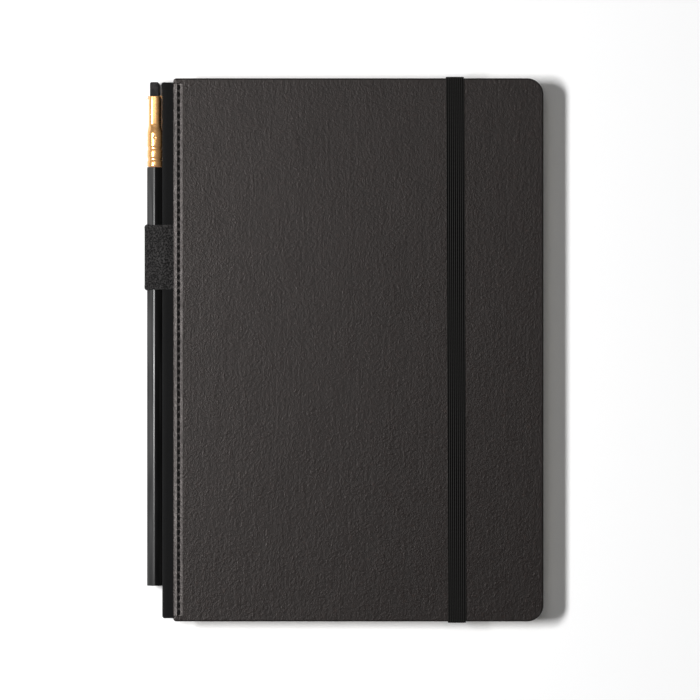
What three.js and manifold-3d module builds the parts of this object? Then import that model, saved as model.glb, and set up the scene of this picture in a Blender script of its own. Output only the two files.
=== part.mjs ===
// A stitched hardcover notebook with an elastic closure and a pencil held at its spine.
// Millimetres. X runs across the page from the spine (-X) to the fore edge (+X), Y runs up
// the page to the head (+Y), and Z is up. The book lies on its back cover at Z = 0.

import * as THREE from "three";
import { mergeVertices } from "three/addons/utils/BufferGeometryUtils.js";
import Module from "manifold-3d";

// ---------------------------------------------------------------- driving dimensions

// Whole book
const BOOK_T = 15.0;
const MID_Z = BOOK_T / 2;
const GAP = 0.03;

// Cover panels: a board inside a leatherette wrap whose edges are turned in
const PANEL_X0 = -73.6;
const PANEL_X1 = 73.6;
const PANEL_H = 216.0;
const PANEL_T = 2.1;
const FORE_R = 6.5;
const SPINE_R = 1.2;
const RIM_R = 0.6;
const SKIN = 0.22;
const TURN_IN = 14.0;
const BOARD_X0 = -70.4;

// Stitched groove along the spine side of each cover
const SEAM_X = -71.4;
const SEAM_W = 1.4;
const SEAM_DEPTH = 0.5;
const STITCH_PITCH = 2.9;
const STITCH_COUNT = 73;
const STITCH_L = 2.1;
const STITCH_W = 0.62;
const STITCH_T = 0.36;
const THREAD_CORE = 0.26;
const STITCH_PROFILE = [
  new THREE.Vector2(0, -0.5),
  new THREE.Vector2(0.5, -0.34),
  new THREE.Vector2(0.5, 0.34),
  new THREE.Vector2(0, 0.5),
];

// Text block
const PAGE_X0 = -77.0;
const PAGE_W = 148.0;
const PAGE_H = 210.0;
const PAGE_R = 5.0;
const SHEET_T = 0.12;
const SIGNATURES = 10;
const TURNING = 2;
const BLOCK_Z0 = 2.44;
const BLOCK_Z1 = 12.56;
const PASTE_W = 148.4;
const PASTE_H = 211.6;

// Spine: sewing thread, gauze and card behind the folds, cloth outside
const CLOTH_OUT_X = -78.12;
const CLOTH_T = 0.3;
const CLOTH_H = 213.5;
const CLOTH_Z = 13.6;
const CLOTH_R = 1.6;
const CLOTH_IN_X = -70.75;
const THREAD_X = [-77.28, -77.03];
const MULL_X = [-77.55, -77.31];
const LINER_X = [-77.79, -77.58];
const STATIONS = [-96, -60, -24, 24, 60, 96];
const BAND_CORD_R = 0.62;

// Elastic closure
const CLOSURE_X = 38.8;
const CLOSURE_W = 7.0;
const CLOSURE_T = 0.6;
const CLOSURE_LEAN = 0.0038;
const CLOSURE_FOOT_Z = 1.4;
const CLOSURE_R = 0.9;
const CLOSURE_TUCK = 16.0;
const RIB_COUNT = 9;
const RIB_CUT = [0.24, 0.14];

// Pencil
const PENCIL_X = -81.25;
const PENCIL_FLATS = 6.15;
const PENCIL_Y0 = -94.1;
const PENCIL_SHOULDER = 72.9;
const TENON_R = 2.5;
const TENON_Y1 = 84.4;
const LEAD_R = 1.1;
const LEAD_CLEAR = 0.05;

// Ferrule, round where it is crimped and flat where it holds the eraser
const FERRULE_Y0 = 73.2;
const FERRULE_Y1 = 101.4;
const FERRULE_R = 3.0;
const FERRULE_WALL = 0.26;
const FLAT_X = 2.45;
const FLAT_Z = 5.0;
const FLARE_Y = [86.2, 90.2];
const RINGS_Y = [76.0, 80.4];
const RING_DEPTH = 0.22;
const DIMPLE_Y = 84.6;

// Eraser and the clip it is held by
const ERASER = [3.6, 16.4, 8.4];
const ERASER_Y1 = 107.05;
const CLIP_T = 0.12;
const CLIP_Z = 3.2;
const EAR_REACH = [3.75, 3.1];
const EAR_Z = 1.7;

// Pencil loop
const LOOP_Y = 36.9;
const LOOP_W = 25.7;
const LOOP_T = 0.7;
const LOOP_X1 = -72.4;
const LOOP_TOP_Z = 14.2;

// ---------------------------------------------------------------- finishes

const FINISH = {
  leatherette: [0x2e2b29, 0.62, 0],
  board: [0x8d8577, 0.95, 0],
  paper: [0xefe9da, 0.9, 0],
  endpaper: [0xe7dfcc, 0.92, 0],
  cloth: [0x131313, 0.95, 0],
  thread: [0x101010, 0.8, 0],
  linen: [0xd9d2bf, 0.9, 0],
  gauze: [0xcfc8b4, 0.95, 0],
  elastic: [0x0e0e0e, 0.85, 0],
  strap: [0x2a2a2b, 0.92, 0],
  lacquer: [0x1b1b1c, 0.35, 0],
  graphite: [0x3a3b3d, 0.45, 0.2],
  brass: [0xc9a24a, 0.28, 1],
  rubber: [0x26262a, 0.9, 0],
};

// ---------------------------------------------------------------- solid helpers

const wasm = await Module();
wasm.setup();

/** A closed manifold solid from a three.js geometry. */
function solid(geometry) {
  const bare = geometry.clone();
  bare.deleteAttribute("normal");
  bare.deleteAttribute("uv");
  const merged = mergeVertices(bare, 1e-4);
  return new wasm.Manifold(
    new wasm.Mesh({
      numProp: 3,
      vertProperties: new Float32Array(merged.attributes.position.array),
      triVerts: new Uint32Array(merged.index.array),
    }),
  );
}

/** A three.js geometry from a manifold solid. */
function geometryOf(body) {
  const mesh = body.getMesh();
  const geometry = new THREE.BufferGeometry();
  geometry.setAttribute("position", new THREE.BufferAttribute(new Float32Array(mesh.vertProperties), 3));
  geometry.setIndex(new THREE.BufferAttribute(new Uint32Array(mesh.triVerts), 1));
  geometry.computeVertexNormals();
  return geometry;
}

/** A box between two corners. */
function box([x0, y0, z0], [x1, y1, z1]) {
  const geometry = new THREE.BoxGeometry(x1 - x0, y1 - y0, z1 - z0);
  geometry.translate((x0 + x1) / 2, (y0 + y1) / 2, (z0 + z1) / 2);
  return geometry;
}

/** A rectangle's outline with its own radius on the spine side and on the fore edge. */
function panelShape(x0, x1, height, spineR, foreR) {
  const h = height / 2;
  const shape = new THREE.Shape();
  shape.moveTo(x0 + spineR, -h);
  shape.lineTo(x1 - foreR, -h);
  shape.absarc(x1 - foreR, -h + foreR, foreR, -Math.PI / 2, 0, false);
  shape.lineTo(x1, h - foreR);
  shape.absarc(x1 - foreR, h - foreR, foreR, 0, Math.PI / 2, false);
  shape.lineTo(x0 + spineR, h);
  shape.absarc(x0 + spineR, h - spineR, spineR, Math.PI / 2, Math.PI, false);
  shape.lineTo(x0, -h + spineR);
  shape.absarc(x0 + spineR, -h + spineR, spineR, Math.PI, Math.PI * 1.5, false);
  return shape;
}

/** A flat plate with plain edges between two heights. */
function plate(shape, z0, z1, segments = 6) {
  const geometry = new THREE.ExtrudeGeometry(shape, {
    depth: z1 - z0,
    bevelEnabled: false,
    curveSegments: segments,
  });
  geometry.translate(0, 0, z0);
  return geometry;
}

/** A flat plate with rounded edges between two heights. */
function softPlate(shape, z0, z1, radius, segments = 8, rounds = 4) {
  const geometry = new THREE.ExtrudeGeometry(shape, {
    depth: z1 - z0 - 2 * radius,
    bevelEnabled: true,
    bevelThickness: radius,
    bevelSize: radius,
    bevelOffset: -radius,
    bevelSegments: rounds,
    curveSegments: segments,
  });
  geometry.translate(0, 0, z0 + radius);
  return geometry;
}

/** An outline drawn in the XZ plane, extruded along Y between y0 and y1. */
function alongY(shape, y0, y1, segments = 8) {
  const geometry = new THREE.ExtrudeGeometry(shape, {
    depth: y1 - y0,
    bevelEnabled: false,
    curveSegments: segments,
  });
  geometry.rotateX(Math.PI / 2);
  geometry.translate(0, y1, 0);
  return geometry;
}

/** The outline of a strip of even thickness that follows a line of 2-D points. */
function ribbonShape(line, thickness) {
  const left = [];
  const right = [];
  line.forEach((point, i) => {
    const before = line[Math.max(i - 1, 0)];
    const after = line[Math.min(i + 1, line.length - 1)];
    const along = after.clone().sub(before).normalize();
    const across = new THREE.Vector2(-along.y, along.x).multiplyScalar(thickness / 2);
    left.push(point.clone().add(across));
    right.push(point.clone().sub(across));
  });
  return new THREE.Shape([...left, ...right.reverse()]);
}

/** Points along a line whose corners are rounded to the given radii. */
function roundedLine(corners, segments = 6) {
  const points = [];
  corners.forEach(([x, z, r], i) => {
    const here = new THREE.Vector2(x, z);
    if (!r) {
      points.push(here);
      return;
    }
    const before = new THREE.Vector2(...corners[i - 1].slice(0, 2)).sub(here).normalize();
    const after = new THREE.Vector2(...corners[i + 1].slice(0, 2)).sub(here).normalize();
    const half = Math.acos(THREE.MathUtils.clamp(before.dot(after), -1, 1)) / 2;
    const reach = r / Math.tan(half);
    const centre = before.clone().add(after).normalize().multiplyScalar(r / Math.sin(half)).add(here);
    const start = before.multiplyScalar(reach).add(here).sub(centre);
    const end = after.multiplyScalar(reach).add(here).sub(centre);
    const turn = Math.atan2(start.cross(end), start.dot(end));
    for (let k = 0; k <= segments; k += 1) {
      points.push(start.clone().rotateAround(new THREE.Vector2(), (turn * k) / segments).add(centre));
    }
  });
  return points;
}

/** The same line mirrored top to bottom about the book's mid height, in reverse order. */
function mirroredLine(line) {
  return line.map((p) => new THREE.Vector2(p.x, BOOK_T - p.y)).reverse();
}

/** A solid mirrored top to bottom about the book's mid height. */
function flipped(body) {
  return body.mirror([0, 0, 1]).translate([0, 0, BOOK_T]);
}

// ---------------------------------------------------------------- covers

/** The leatherette wrap of the front cover, with the board space and seams cut out. */
function coverWrap() {
  const z0 = BOOK_T - PANEL_T;
  const h = PANEL_H / 2;
  const outline = panelShape(PANEL_X0, PANEL_X1, PANEL_H, SPINE_R, FORE_R);
  const space = panelShape(BOARD_X0 - GAP, PANEL_X1 - SKIN, PANEL_H - 2 * SKIN, 0.6, FORE_R - SKIN);
  const inside = panelShape(BOARD_X0 + 8, PANEL_X1 - TURN_IN, PANEL_H - 2 * TURN_IN, 0.6, 2);
  const slotZ = [CLOTH_Z - CLOTH_T / 2 - GAP, CLOTH_Z + CLOTH_T / 2 + GAP];
  return solid(softPlate(outline, z0, BOOK_T, RIM_R))
    .subtract(solid(plate(space, z0 + SKIN, BOOK_T - SKIN)))
    .subtract(solid(plate(inside, z0 - 1, z0 + SKIN + 0.1)))
    .subtract(solid(box([SEAM_X - SEAM_W / 2, -h - 1, BOOK_T - SEAM_DEPTH], [SEAM_X + SEAM_W / 2, h + 1, BOOK_T + 1])))
    .subtract(
      solid(box([PANEL_X0 - 1, -CLOTH_H / 2 - GAP, slotZ[0]], [BOARD_X0 + 0.2, CLOTH_H / 2 + GAP, slotZ[1]])),
    )
    .subtract(
      solid(
        box(
          [PANEL_X0 - 1, LOOP_Y - LOOP_W / 2 - 0.1, slotZ[0]],
          [LOOP_X1 + 0.1, LOOP_Y + LOOP_W / 2 + 0.1, LOOP_TOP_Z + LOOP_T / 2 + GAP],
        ),
      ),
    );
}

/** The board inside the front cover. */
function coverBoard() {
  const outline = panelShape(
    BOARD_X0,
    PANEL_X1 - SKIN - GAP,
    PANEL_H - 2 * (SKIN + GAP),
    0.6,
    FORE_R - SKIN - GAP,
  );
  return solid(plate(outline, BOOK_T - PANEL_T + SKIN + GAP, BOOK_T - SKIN - GAP));
}

/** The running stitch that lies in the front cover's groove. */
function seamThread() {
  const floor = BOOK_T - SEAM_DEPTH + GAP;
  const reach = (STITCH_COUNT * STITCH_PITCH) / 2;
  const core = box(
    [SEAM_X - THREAD_CORE / 2, -reach, floor],
    [SEAM_X + THREAD_CORE / 2, reach, floor + THREAD_CORE],
  );
  let thread = solid(core);
  for (let i = 0; i < STITCH_COUNT; i += 1) {
    const stitch = new THREE.LatheGeometry(STITCH_PROFILE, 6);
    stitch.scale(STITCH_W, STITCH_L, STITCH_T);
    stitch.translate(SEAM_X, -reach + (i + 0.5) * STITCH_PITCH, floor + STITCH_T / 2);
    thread = thread.add(solid(stitch));
  }
  return thread;
}

/** The sheet glued inside the front cover. It reaches over the joint to the text block. */
function pastedown() {
  const outline = panelShape(PAGE_X0 + 0.3, PAGE_X0 + 0.3 + PASTE_W, PASTE_H, 0.2, PAGE_R);
  const top = BOOK_T - PANEL_T - GAP;
  return solid(plate(outline, top - SHEET_T, top));
}

// ---------------------------------------------------------------- text block

/** One folded gathering of leaves, counted from the front. */
function signature(index) {
  const pitch = (BLOCK_Z1 - BLOCK_Z0 + GAP) / SIGNATURES;
  const z1 = BLOCK_Z1 - index * pitch;
  const z0 = z1 - pitch + GAP;
  const r = (z1 - z0) / 2;
  const outline = panelShape(PAGE_X0, PAGE_X0 + PAGE_W, PAGE_H, 0.05, PAGE_R);
  const side = new THREE.Shape();
  side.moveTo(PAGE_X0 + r, z1);
  side.absarc(PAGE_X0 + r, z0 + r, r, Math.PI / 2, Math.PI * 1.5, false);
  side.lineTo(PAGE_X0 + PAGE_W + 1, z0);
  side.lineTo(PAGE_X0 + PAGE_W + 1, z1);
  return solid(plate(outline, z0 - 0.5, z1 + 0.5)).intersect(solid(alongY(side, -PAGE_H, PAGE_H)));
}

/** The free leaf next to a cover, between two heights. */
function flyleaf(z0) {
  const outline = panelShape(PAGE_X0, PAGE_X0 + PAGE_W, PAGE_H, 0.1, PAGE_R);
  return solid(plate(outline, z0, z0 + SHEET_T));
}

/** The sewing thread over the folds: a stitch at each station, linked between gatherings. */
function bindingThread() {
  const pitch = (BLOCK_Z1 - BLOCK_Z0 + GAP) / SIGNATURES;
  const [x0, x1] = THREAD_X;
  let thread = null;
  for (const y of STATIONS) {
    const column = solid(box([x0, y - 0.2, BLOCK_Z0 + 0.3], [x1, y + 0.2, BLOCK_Z1 - 0.3]));
    thread = thread ? thread.add(column) : column;
  }
  for (let i = 0; i < SIGNATURES; i += 1) {
    const z = BLOCK_Z1 - (i + 0.5) * pitch;
    for (let k = i % 2; k < STATIONS.length - 1; k += 2) {
      const run = box([x0 + 0.04, STATIONS[k], z - 0.14], [x1 - 0.04, STATIONS[k + 1], z + 0.14]);
      thread = thread.add(solid(run));
    }
  }
  return thread;
}

/** The rolled cord at one end of the spine, head (+1) or tail (-1). */
function endBand(side) {
  const cord = new THREE.CapsuleGeometry(BAND_CORD_R, BLOCK_Z1 - BLOCK_Z0 - 1.4, 4, 14);
  cord.rotateX(Math.PI / 2);
  cord.translate(PAGE_X0 + BAND_CORD_R, side * (PAGE_H / 2 + BAND_CORD_R + GAP), MID_Z);
  return solid(cord);
}

// ---------------------------------------------------------------- spine

/** A flat strip standing behind the folds. */
function spineStrip([x0, x1], height, z0) {
  return solid(box([x0, -height / 2, z0], [x1, height / 2, BOOK_T - z0]));
}

/** The cloth that wraps the spine and runs into both covers. */
function spineCloth() {
  const x = CLOTH_OUT_X + CLOTH_T / 2;
  const line = roundedLine([
    [CLOTH_IN_X, CLOTH_Z, 0],
    [x, CLOTH_Z, CLOTH_R],
    [x, BOOK_T - CLOTH_Z, CLOTH_R],
    [CLOTH_IN_X, BOOK_T - CLOTH_Z, 0],
  ]);
  return solid(alongY(ribbonShape(line, CLOTH_T), -CLOTH_H / 2, CLOTH_H / 2));
}

/** The strap that leaves one cover, passes around the pencil and enters the other cover. */
function pencilLoop() {
  const off = 0.3 + LOOP_T / 2;
  const left = PENCIL_X - PENCIL_FLATS / 2 - off;
  const rise = PENCIL_FLATS / Math.sqrt(3) + off / Math.cos(Math.PI / 6);
  const slope = Math.tan(Math.PI / 6);
  const bendX = PENCIL_X + (LOOP_TOP_Z - MID_Z - rise) / slope;
  const upper = [
    [LOOP_X1, LOOP_TOP_Z, 0],
    [bendX, LOOP_TOP_Z, 1.6],
    [left, MID_Z + rise + (left - PENCIL_X) * slope, 1.4],
    [left, MID_Z, 0],
  ];
  const line = roundedLine(upper).slice(0, -1);
  const whole = [...line, ...mirroredLine(line)];
  return solid(alongY(ribbonShape(whole, LOOP_T), LOOP_Y - LOOP_W / 2, LOOP_Y + LOOP_W / 2));
}

// ---------------------------------------------------------------- elastic closure

/** The side outline of a strip that runs over the front cover and down at both ends. */
function closureSide(grow, shrink) {
  const top = BOOK_T + GAP + CLOSURE_T + grow;
  const y = PANEL_H / 2 + 0.05 + CLOSURE_T + grow;
  const t = CLOSURE_T + grow - shrink;
  const line = roundedLine(
    [
      [-y + t / 2, CLOSURE_FOOT_Z, 0],
      [-y + t / 2, top - t / 2, CLOSURE_R],
      [y - t / 2, top - t / 2, CLOSURE_R],
      [y - t / 2, CLOSURE_FOOT_Z, 0],
    ],
    5,
  );
  return ribbonShape(line, t);
}

/** A strip with the given side outline, between two places across its width. */
function closureStrip(shape, x0, x1) {
  const geometry = new THREE.ExtrudeGeometry(shape, { depth: x1 - x0, bevelEnabled: false });
  geometry.rotateY(Math.PI / 2);
  geometry.rotateX(Math.PI / 2);
  geometry.translate(CLOSURE_X + x0, 0, 0);
  return geometry;
}

/** Moves a geometry sideways in step with its height on the page. */
function lean(geometry) {
  const p = geometry.attributes.position;
  for (let i = 0; i < p.count; i += 1) {
    p.setX(i, p.getX(i) - CLOSURE_LEAN * p.getY(i));
  }
  return geometry;
}

/** The ribbed elastic: its run over the front cover and its two legs. */
function closureBand() {
  const half = CLOSURE_W / 2;
  const [cutW, cutD] = RIB_CUT;
  let band = solid(lean(closureStrip(closureSide(0, 0), -half, half)));
  const cut = closureSide(0.2, CLOSURE_T - cutD);
  for (let i = 1; i < RIB_COUNT; i += 1) {
    const x = -half + (i * CLOSURE_W) / RIB_COUNT;
    band = band.subtract(solid(lean(closureStrip(cut, x - cutW / 2, x + cutW / 2))));
  }
  return band;
}

/** The end of the elastic that is glued inside the back cover, at the head or the tail. */
function closureEnd(side) {
  const x = CLOSURE_X - side * CLOSURE_LEAN * (PANEL_H / 2);
  const near = side * (PANEL_H / 2 - CLOSURE_TUCK);
  const far = (side * PANEL_H) / 2;
  const y = [Math.min(near, far), Math.max(near, far)];
  const z = [CLOSURE_FOOT_Z, CLOSURE_FOOT_Z + CLOSURE_T];
  return solid(box([x - CLOSURE_W / 2, y[0], z[0]], [x + CLOSURE_W / 2, y[1], z[1]]));
}

/** The recesses in the back cover that take the two glued ends. */
function closureRecess(body) {
  let cut = body;
  for (const side of [-1, 1]) {
    const x = CLOSURE_X - side * CLOSURE_LEAN * (PANEL_H / 2);
    const ends = [side * (PANEL_H / 2 - CLOSURE_TUCK - 0.1), side * (PANEL_H / 2 + 1)].sort((a, b) => a - b);
    const low = [x - CLOSURE_W / 2 - 0.1, ends[0], CLOSURE_FOOT_Z - GAP];
    const high = [x + CLOSURE_W / 2 + 0.1, ends[1], PANEL_T + 1];
    cut = cut.subtract(solid(box(low, high)));
  }
  return cut;
}

// ---------------------------------------------------------------- pencil

/** A cylinder along Y at the pencil's axis. */
function barrel(radius, y0, y1, segments = 32) {
  const geometry = new THREE.CylinderGeometry(radius, radius, y1 - y0, segments);
  geometry.translate(PENCIL_X, (y0 + y1) / 2, MID_Z);
  return solid(geometry);
}

/** The six-sided wooden casing with its turned end and its bore. */
function pencilCasing() {
  const r = PENCIL_FLATS / Math.sqrt(3);
  const corners = [0, 1, 2, 3, 4, 5].map((i) => {
    const a = Math.PI / 2 + (i * Math.PI) / 3;
    return new THREE.Vector2(PENCIL_X + r * Math.cos(a), MID_Z + r * Math.sin(a));
  });
  return solid(alongY(new THREE.Shape(corners), PENCIL_Y0, PENCIL_SHOULDER))
    .add(barrel(TENON_R, PENCIL_SHOULDER - 1, TENON_Y1))
    .subtract(barrel(LEAD_R + LEAD_CLEAR, PENCIL_Y0 - 1, TENON_Y1 + 1));
}

/** How far from the axis the ferrule's skin lies, before its wall is taken off. */
function ferruleReach(angle, y, wall) {
  const s = THREE.MathUtils.smoothstep(y, FLARE_Y[0], FLARE_Y[1]);
  const a = THREE.MathUtils.lerp(FERRULE_R, FLAT_X, s) - wall;
  const b = THREE.MathUtils.lerp(FERRULE_R, FLAT_Z, s) - wall;
  const n = 2 + 6 * s;
  const sum = Math.abs(Math.cos(angle) / a) ** n + Math.abs(Math.sin(angle) / b) ** n;
  return sum ** (-1 / n);
}

/** The brass ferrule: a crimped tube that flattens towards the eraser. */
function ferrule() {
  const heights = [];
  for (const ring of RINGS_Y) {
    heights.push([ring - 0.9, 0], [ring - 0.35, RING_DEPTH], [ring + 0.35, RING_DEPTH], [ring + 0.9, 0]);
  }
  for (let i = 0; i <= 6; i += 1) {
    heights.push([THREE.MathUtils.lerp(FLARE_Y[0], FLARE_Y[1], i / 6), 0]);
  }
  const line = [[FERRULE_Y0, 0.08], [FERRULE_Y0 + 0.3, 0], ...heights, [FERRULE_Y1, 0]];
  const wall = line.map(([y, dip]) => new THREE.Vector2(dip, y));
  const inner = line.map(([y, dip]) => new THREE.Vector2(dip + FERRULE_WALL, y)).reverse();
  const profile = [...wall, ...inner, wall[0]].map((p) => new THREE.Vector2(10 - p.x, p.y));
  const geometry = new THREE.LatheGeometry(profile, 40);
  const p = geometry.attributes.position;
  for (let i = 0; i < p.count; i += 1) {
    const depth = 10 - Math.hypot(p.getX(i), p.getZ(i));
    const angle = Math.atan2(p.getZ(i), p.getX(i));
    const r = ferruleReach(angle, p.getY(i), depth);
    p.setX(i, PENCIL_X + r * Math.cos(angle));
    p.setZ(i, MID_Z + r * Math.sin(angle));
  }
  let body = solid(geometry);
  for (let i = 0; i < 4; i += 1) {
    const dimple = new THREE.SphereGeometry(1.2, 12, 8);
    const a = (i * Math.PI) / 2;
    const reach = FERRULE_R + 1.05;
    dimple.translate(PENCIL_X + reach * Math.cos(a), DIMPLE_Y, MID_Z + reach * Math.sin(a));
    body = body.subtract(solid(dimple));
  }
  return body;
}

/** The flat eraser block. */
function eraserBlock() {
  const [w, l, d] = ERASER;
  const shape = panelShape(-w / 2, w / 2, l, 0.7, 0.7);
  const geometry = softPlate(shape, -d / 2, d / 2, 0.45, 3, 2);
  geometry.translate(PENCIL_X, ERASER_Y1 - l / 2, MID_Z);
  return solid(geometry);
}

/** The thin clip around the eraser, with its two ears folded over the ferrule's rim. */
function eraserClip() {
  const inside = ERASER[0] / 2 + GAP;
  const foot = ERASER_Y1 - ERASER[1] - GAP - CLIP_T;
  const rim = FERRULE_Y1 + 0.1;
  const z = [MID_Z - CLIP_Z, MID_Z + CLIP_Z];
  const reach = inside + CLIP_T;
  let clip = solid(box([PENCIL_X - reach, foot, z[0]], [PENCIL_X + reach, foot + CLIP_T, z[1]]));
  for (const side of [-1, 1]) {
    const span = (a, b) => [PENCIL_X + side * a, PENCIL_X + side * b].sort((m, n) => m - n);
    const pieces = [
      [span(inside, reach), [foot, rim + CLIP_T], CLIP_Z],
      [span(inside, FLAT_X + 0.3), [rim, rim + CLIP_T], EAR_Z],
      [span(FLAT_X + 0.15, FLAT_X + 0.3), [rim - 1.3, rim + CLIP_T], EAR_Z],
      [span(FLAT_X + 0.15, EAR_REACH[side < 0 ? 0 : 1]), [rim - 1.3, rim - 0.5], EAR_Z],
    ];
    for (const [x, y, halfZ] of pieces) {
      clip = clip.add(solid(box([x[0], y[0], MID_Z - halfZ], [x[1], y[1], MID_Z + halfZ])));
    }
  }
  return clip;
}

// ---------------------------------------------------------------- assembly

const notebook = new THREE.Group();
notebook.name = "pencil_notebook";

/** Adds one named piece with its own material. */
function add(name, body, finish) {
  const [color, roughness, metalness] = FINISH[finish];
  const mesh = new THREE.Mesh(
    geometryOf(body),
    new THREE.MeshStandardMaterial({ color, roughness, metalness }),
  );
  mesh.name = name;
  notebook.add(mesh);
}

add("front_cover_wrap", coverWrap(), "leatherette");
add("front_cover_board", coverBoard(), "board");
add("front_pastedown", pastedown(), "endpaper");
add("front_seam_thread", seamThread(), "thread");
add("back_cover_wrap", closureRecess(flipped(coverWrap())), "leatherette");
add("back_cover_board", closureRecess(flipped(coverBoard())), "board");
add("back_pastedown", flipped(pastedown()), "endpaper");
add("back_seam_thread", flipped(seamThread()), "thread");

for (let i = 0; i < SIGNATURES; i += 1) {
  add(`signature_${String(i + 1).padStart(2, "0")}`, signature(i), "paper");
}
add("front_flyleaf", flyleaf(BLOCK_Z1 + 0.04), "endpaper");
add("back_flyleaf", flyleaf(BLOCK_Z0 - 0.04 - SHEET_T), "endpaper");

add("binding_thread", bindingThread(), "linen");
add("spine_mull", spineStrip(MULL_X, PAGE_H - 12, BLOCK_Z0 + 0.1), "gauze");
add("spine_liner", spineStrip(LINER_X, PAGE_H - 2, BLOCK_Z0 + 0.5), "board");
add("spine_cloth", spineCloth(), "cloth");
add("headband", endBand(1), "linen");
add("tailband", endBand(-1), "linen");

add("closure_band", closureBand(), "elastic");
add("closure_end_head", closureEnd(1), "elastic");
add("closure_end_tail", closureEnd(-1), "elastic");

add("pencil_loop", pencilLoop(), "strap");
add("pencil_casing", pencilCasing(), "lacquer");
add("pencil_lead", barrel(LEAD_R, PENCIL_Y0 + 0.1, TENON_Y1 - 0.2, 20), "graphite");
add("pencil_ferrule", ferrule(), "brass");
add("eraser_block", eraserBlock(), "rubber");
add("eraser_clip", eraserClip(), "brass");

export default notebook;
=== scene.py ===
"""Looks of a stitched hardcover notebook with an elastic closure and a pencil at its spine.

Sizes of pieces are millimetres in the book's own frame: X from the spine to the fore edge, Y up
the page, Z up. A finished mesh is scaled to metres once, when it is closed. Finishes and the
studio are in metres.
"""

from __future__ import annotations

import logging
import math
import random
from dataclasses import dataclass, field
from enum import Enum
from typing import Any, Callable, Iterable, Sequence

import bmesh
import bpy
from mathutils import Matrix, Vector

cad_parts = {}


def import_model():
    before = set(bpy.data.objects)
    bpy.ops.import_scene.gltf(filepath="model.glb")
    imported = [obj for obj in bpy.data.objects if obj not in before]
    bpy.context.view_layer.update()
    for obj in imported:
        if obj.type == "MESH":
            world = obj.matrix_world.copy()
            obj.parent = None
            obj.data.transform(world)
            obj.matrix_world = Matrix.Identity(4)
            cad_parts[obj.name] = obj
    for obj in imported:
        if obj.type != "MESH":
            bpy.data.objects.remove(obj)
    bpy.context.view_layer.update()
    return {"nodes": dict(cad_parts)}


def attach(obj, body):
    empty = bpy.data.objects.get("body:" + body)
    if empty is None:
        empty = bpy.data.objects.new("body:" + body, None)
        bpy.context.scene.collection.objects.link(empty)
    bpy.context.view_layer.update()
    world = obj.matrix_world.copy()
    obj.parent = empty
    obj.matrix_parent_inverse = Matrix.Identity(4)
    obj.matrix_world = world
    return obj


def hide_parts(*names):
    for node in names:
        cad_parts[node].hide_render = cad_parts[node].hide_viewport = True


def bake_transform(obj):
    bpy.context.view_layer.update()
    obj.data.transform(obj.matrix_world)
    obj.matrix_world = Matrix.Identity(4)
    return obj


LOG = logging.getLogger("notebook")

MM = 0.001
# The scale that gives a wave texture a pitch of one unit.
WAVE_SCALE = math.pi / 10
# The closed book over its covers, and one cover panel.
BOOK_T = 15.0
MID_Z = BOOK_T / 2
PANEL_W = 147.2
PANEL_H = 216.0
PANEL_X0 = -PANEL_W / 2
# The line that the front cover turns on, and where the cloth goes from the leaves to the cover.
FOLD_X = -75.4
# The elastic's width and its raised cords.
BAND_W = 7.0
BAND_RIBS = 9
# The pencil's axis and its size across the flats.
PENCIL_X = -81.25
PENCIL_FLATS = 6.15
# Half the length at which a stitch keeps its shape while its ends are made blunter.
STITCH_BLUNT = 1.12
# Distances under which two places count as one.
NEAR = 1e-3
CUT_DIST = 1e-5

Point2 = tuple[float, float]
Colour = tuple[float, float, float]
Socket = bpy.types.NodeSocket
Material = bpy.types.Material
Object = bpy.types.Object
BMesh = bmesh.types.BMesh
BMVert = bmesh.types.BMVert
BMEdge = bmesh.types.BMEdge
BMFace = bmesh.types.BMFace


class Body(str, Enum):
    """The moving bodies that pieces ride on."""

    BOOK = "book"
    LEAVES = "front_leaves"
    FLYLEAF = "front_flyleaf"
    COVER = "front_cover"
    CLOSURE = "closure"
    PENCIL = "pencil"
    ERASER = "eraser"


class Face(Enum):
    """Which cover a piece belongs to."""

    FRONT = "front"
    BACK = "back"


class End(Enum):
    """Which end of the book a piece is at; the value is its sign along Y."""

    HEAD = 1
    TAIL = -1


# ------------------------------------------------------------------ material graphs


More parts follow.
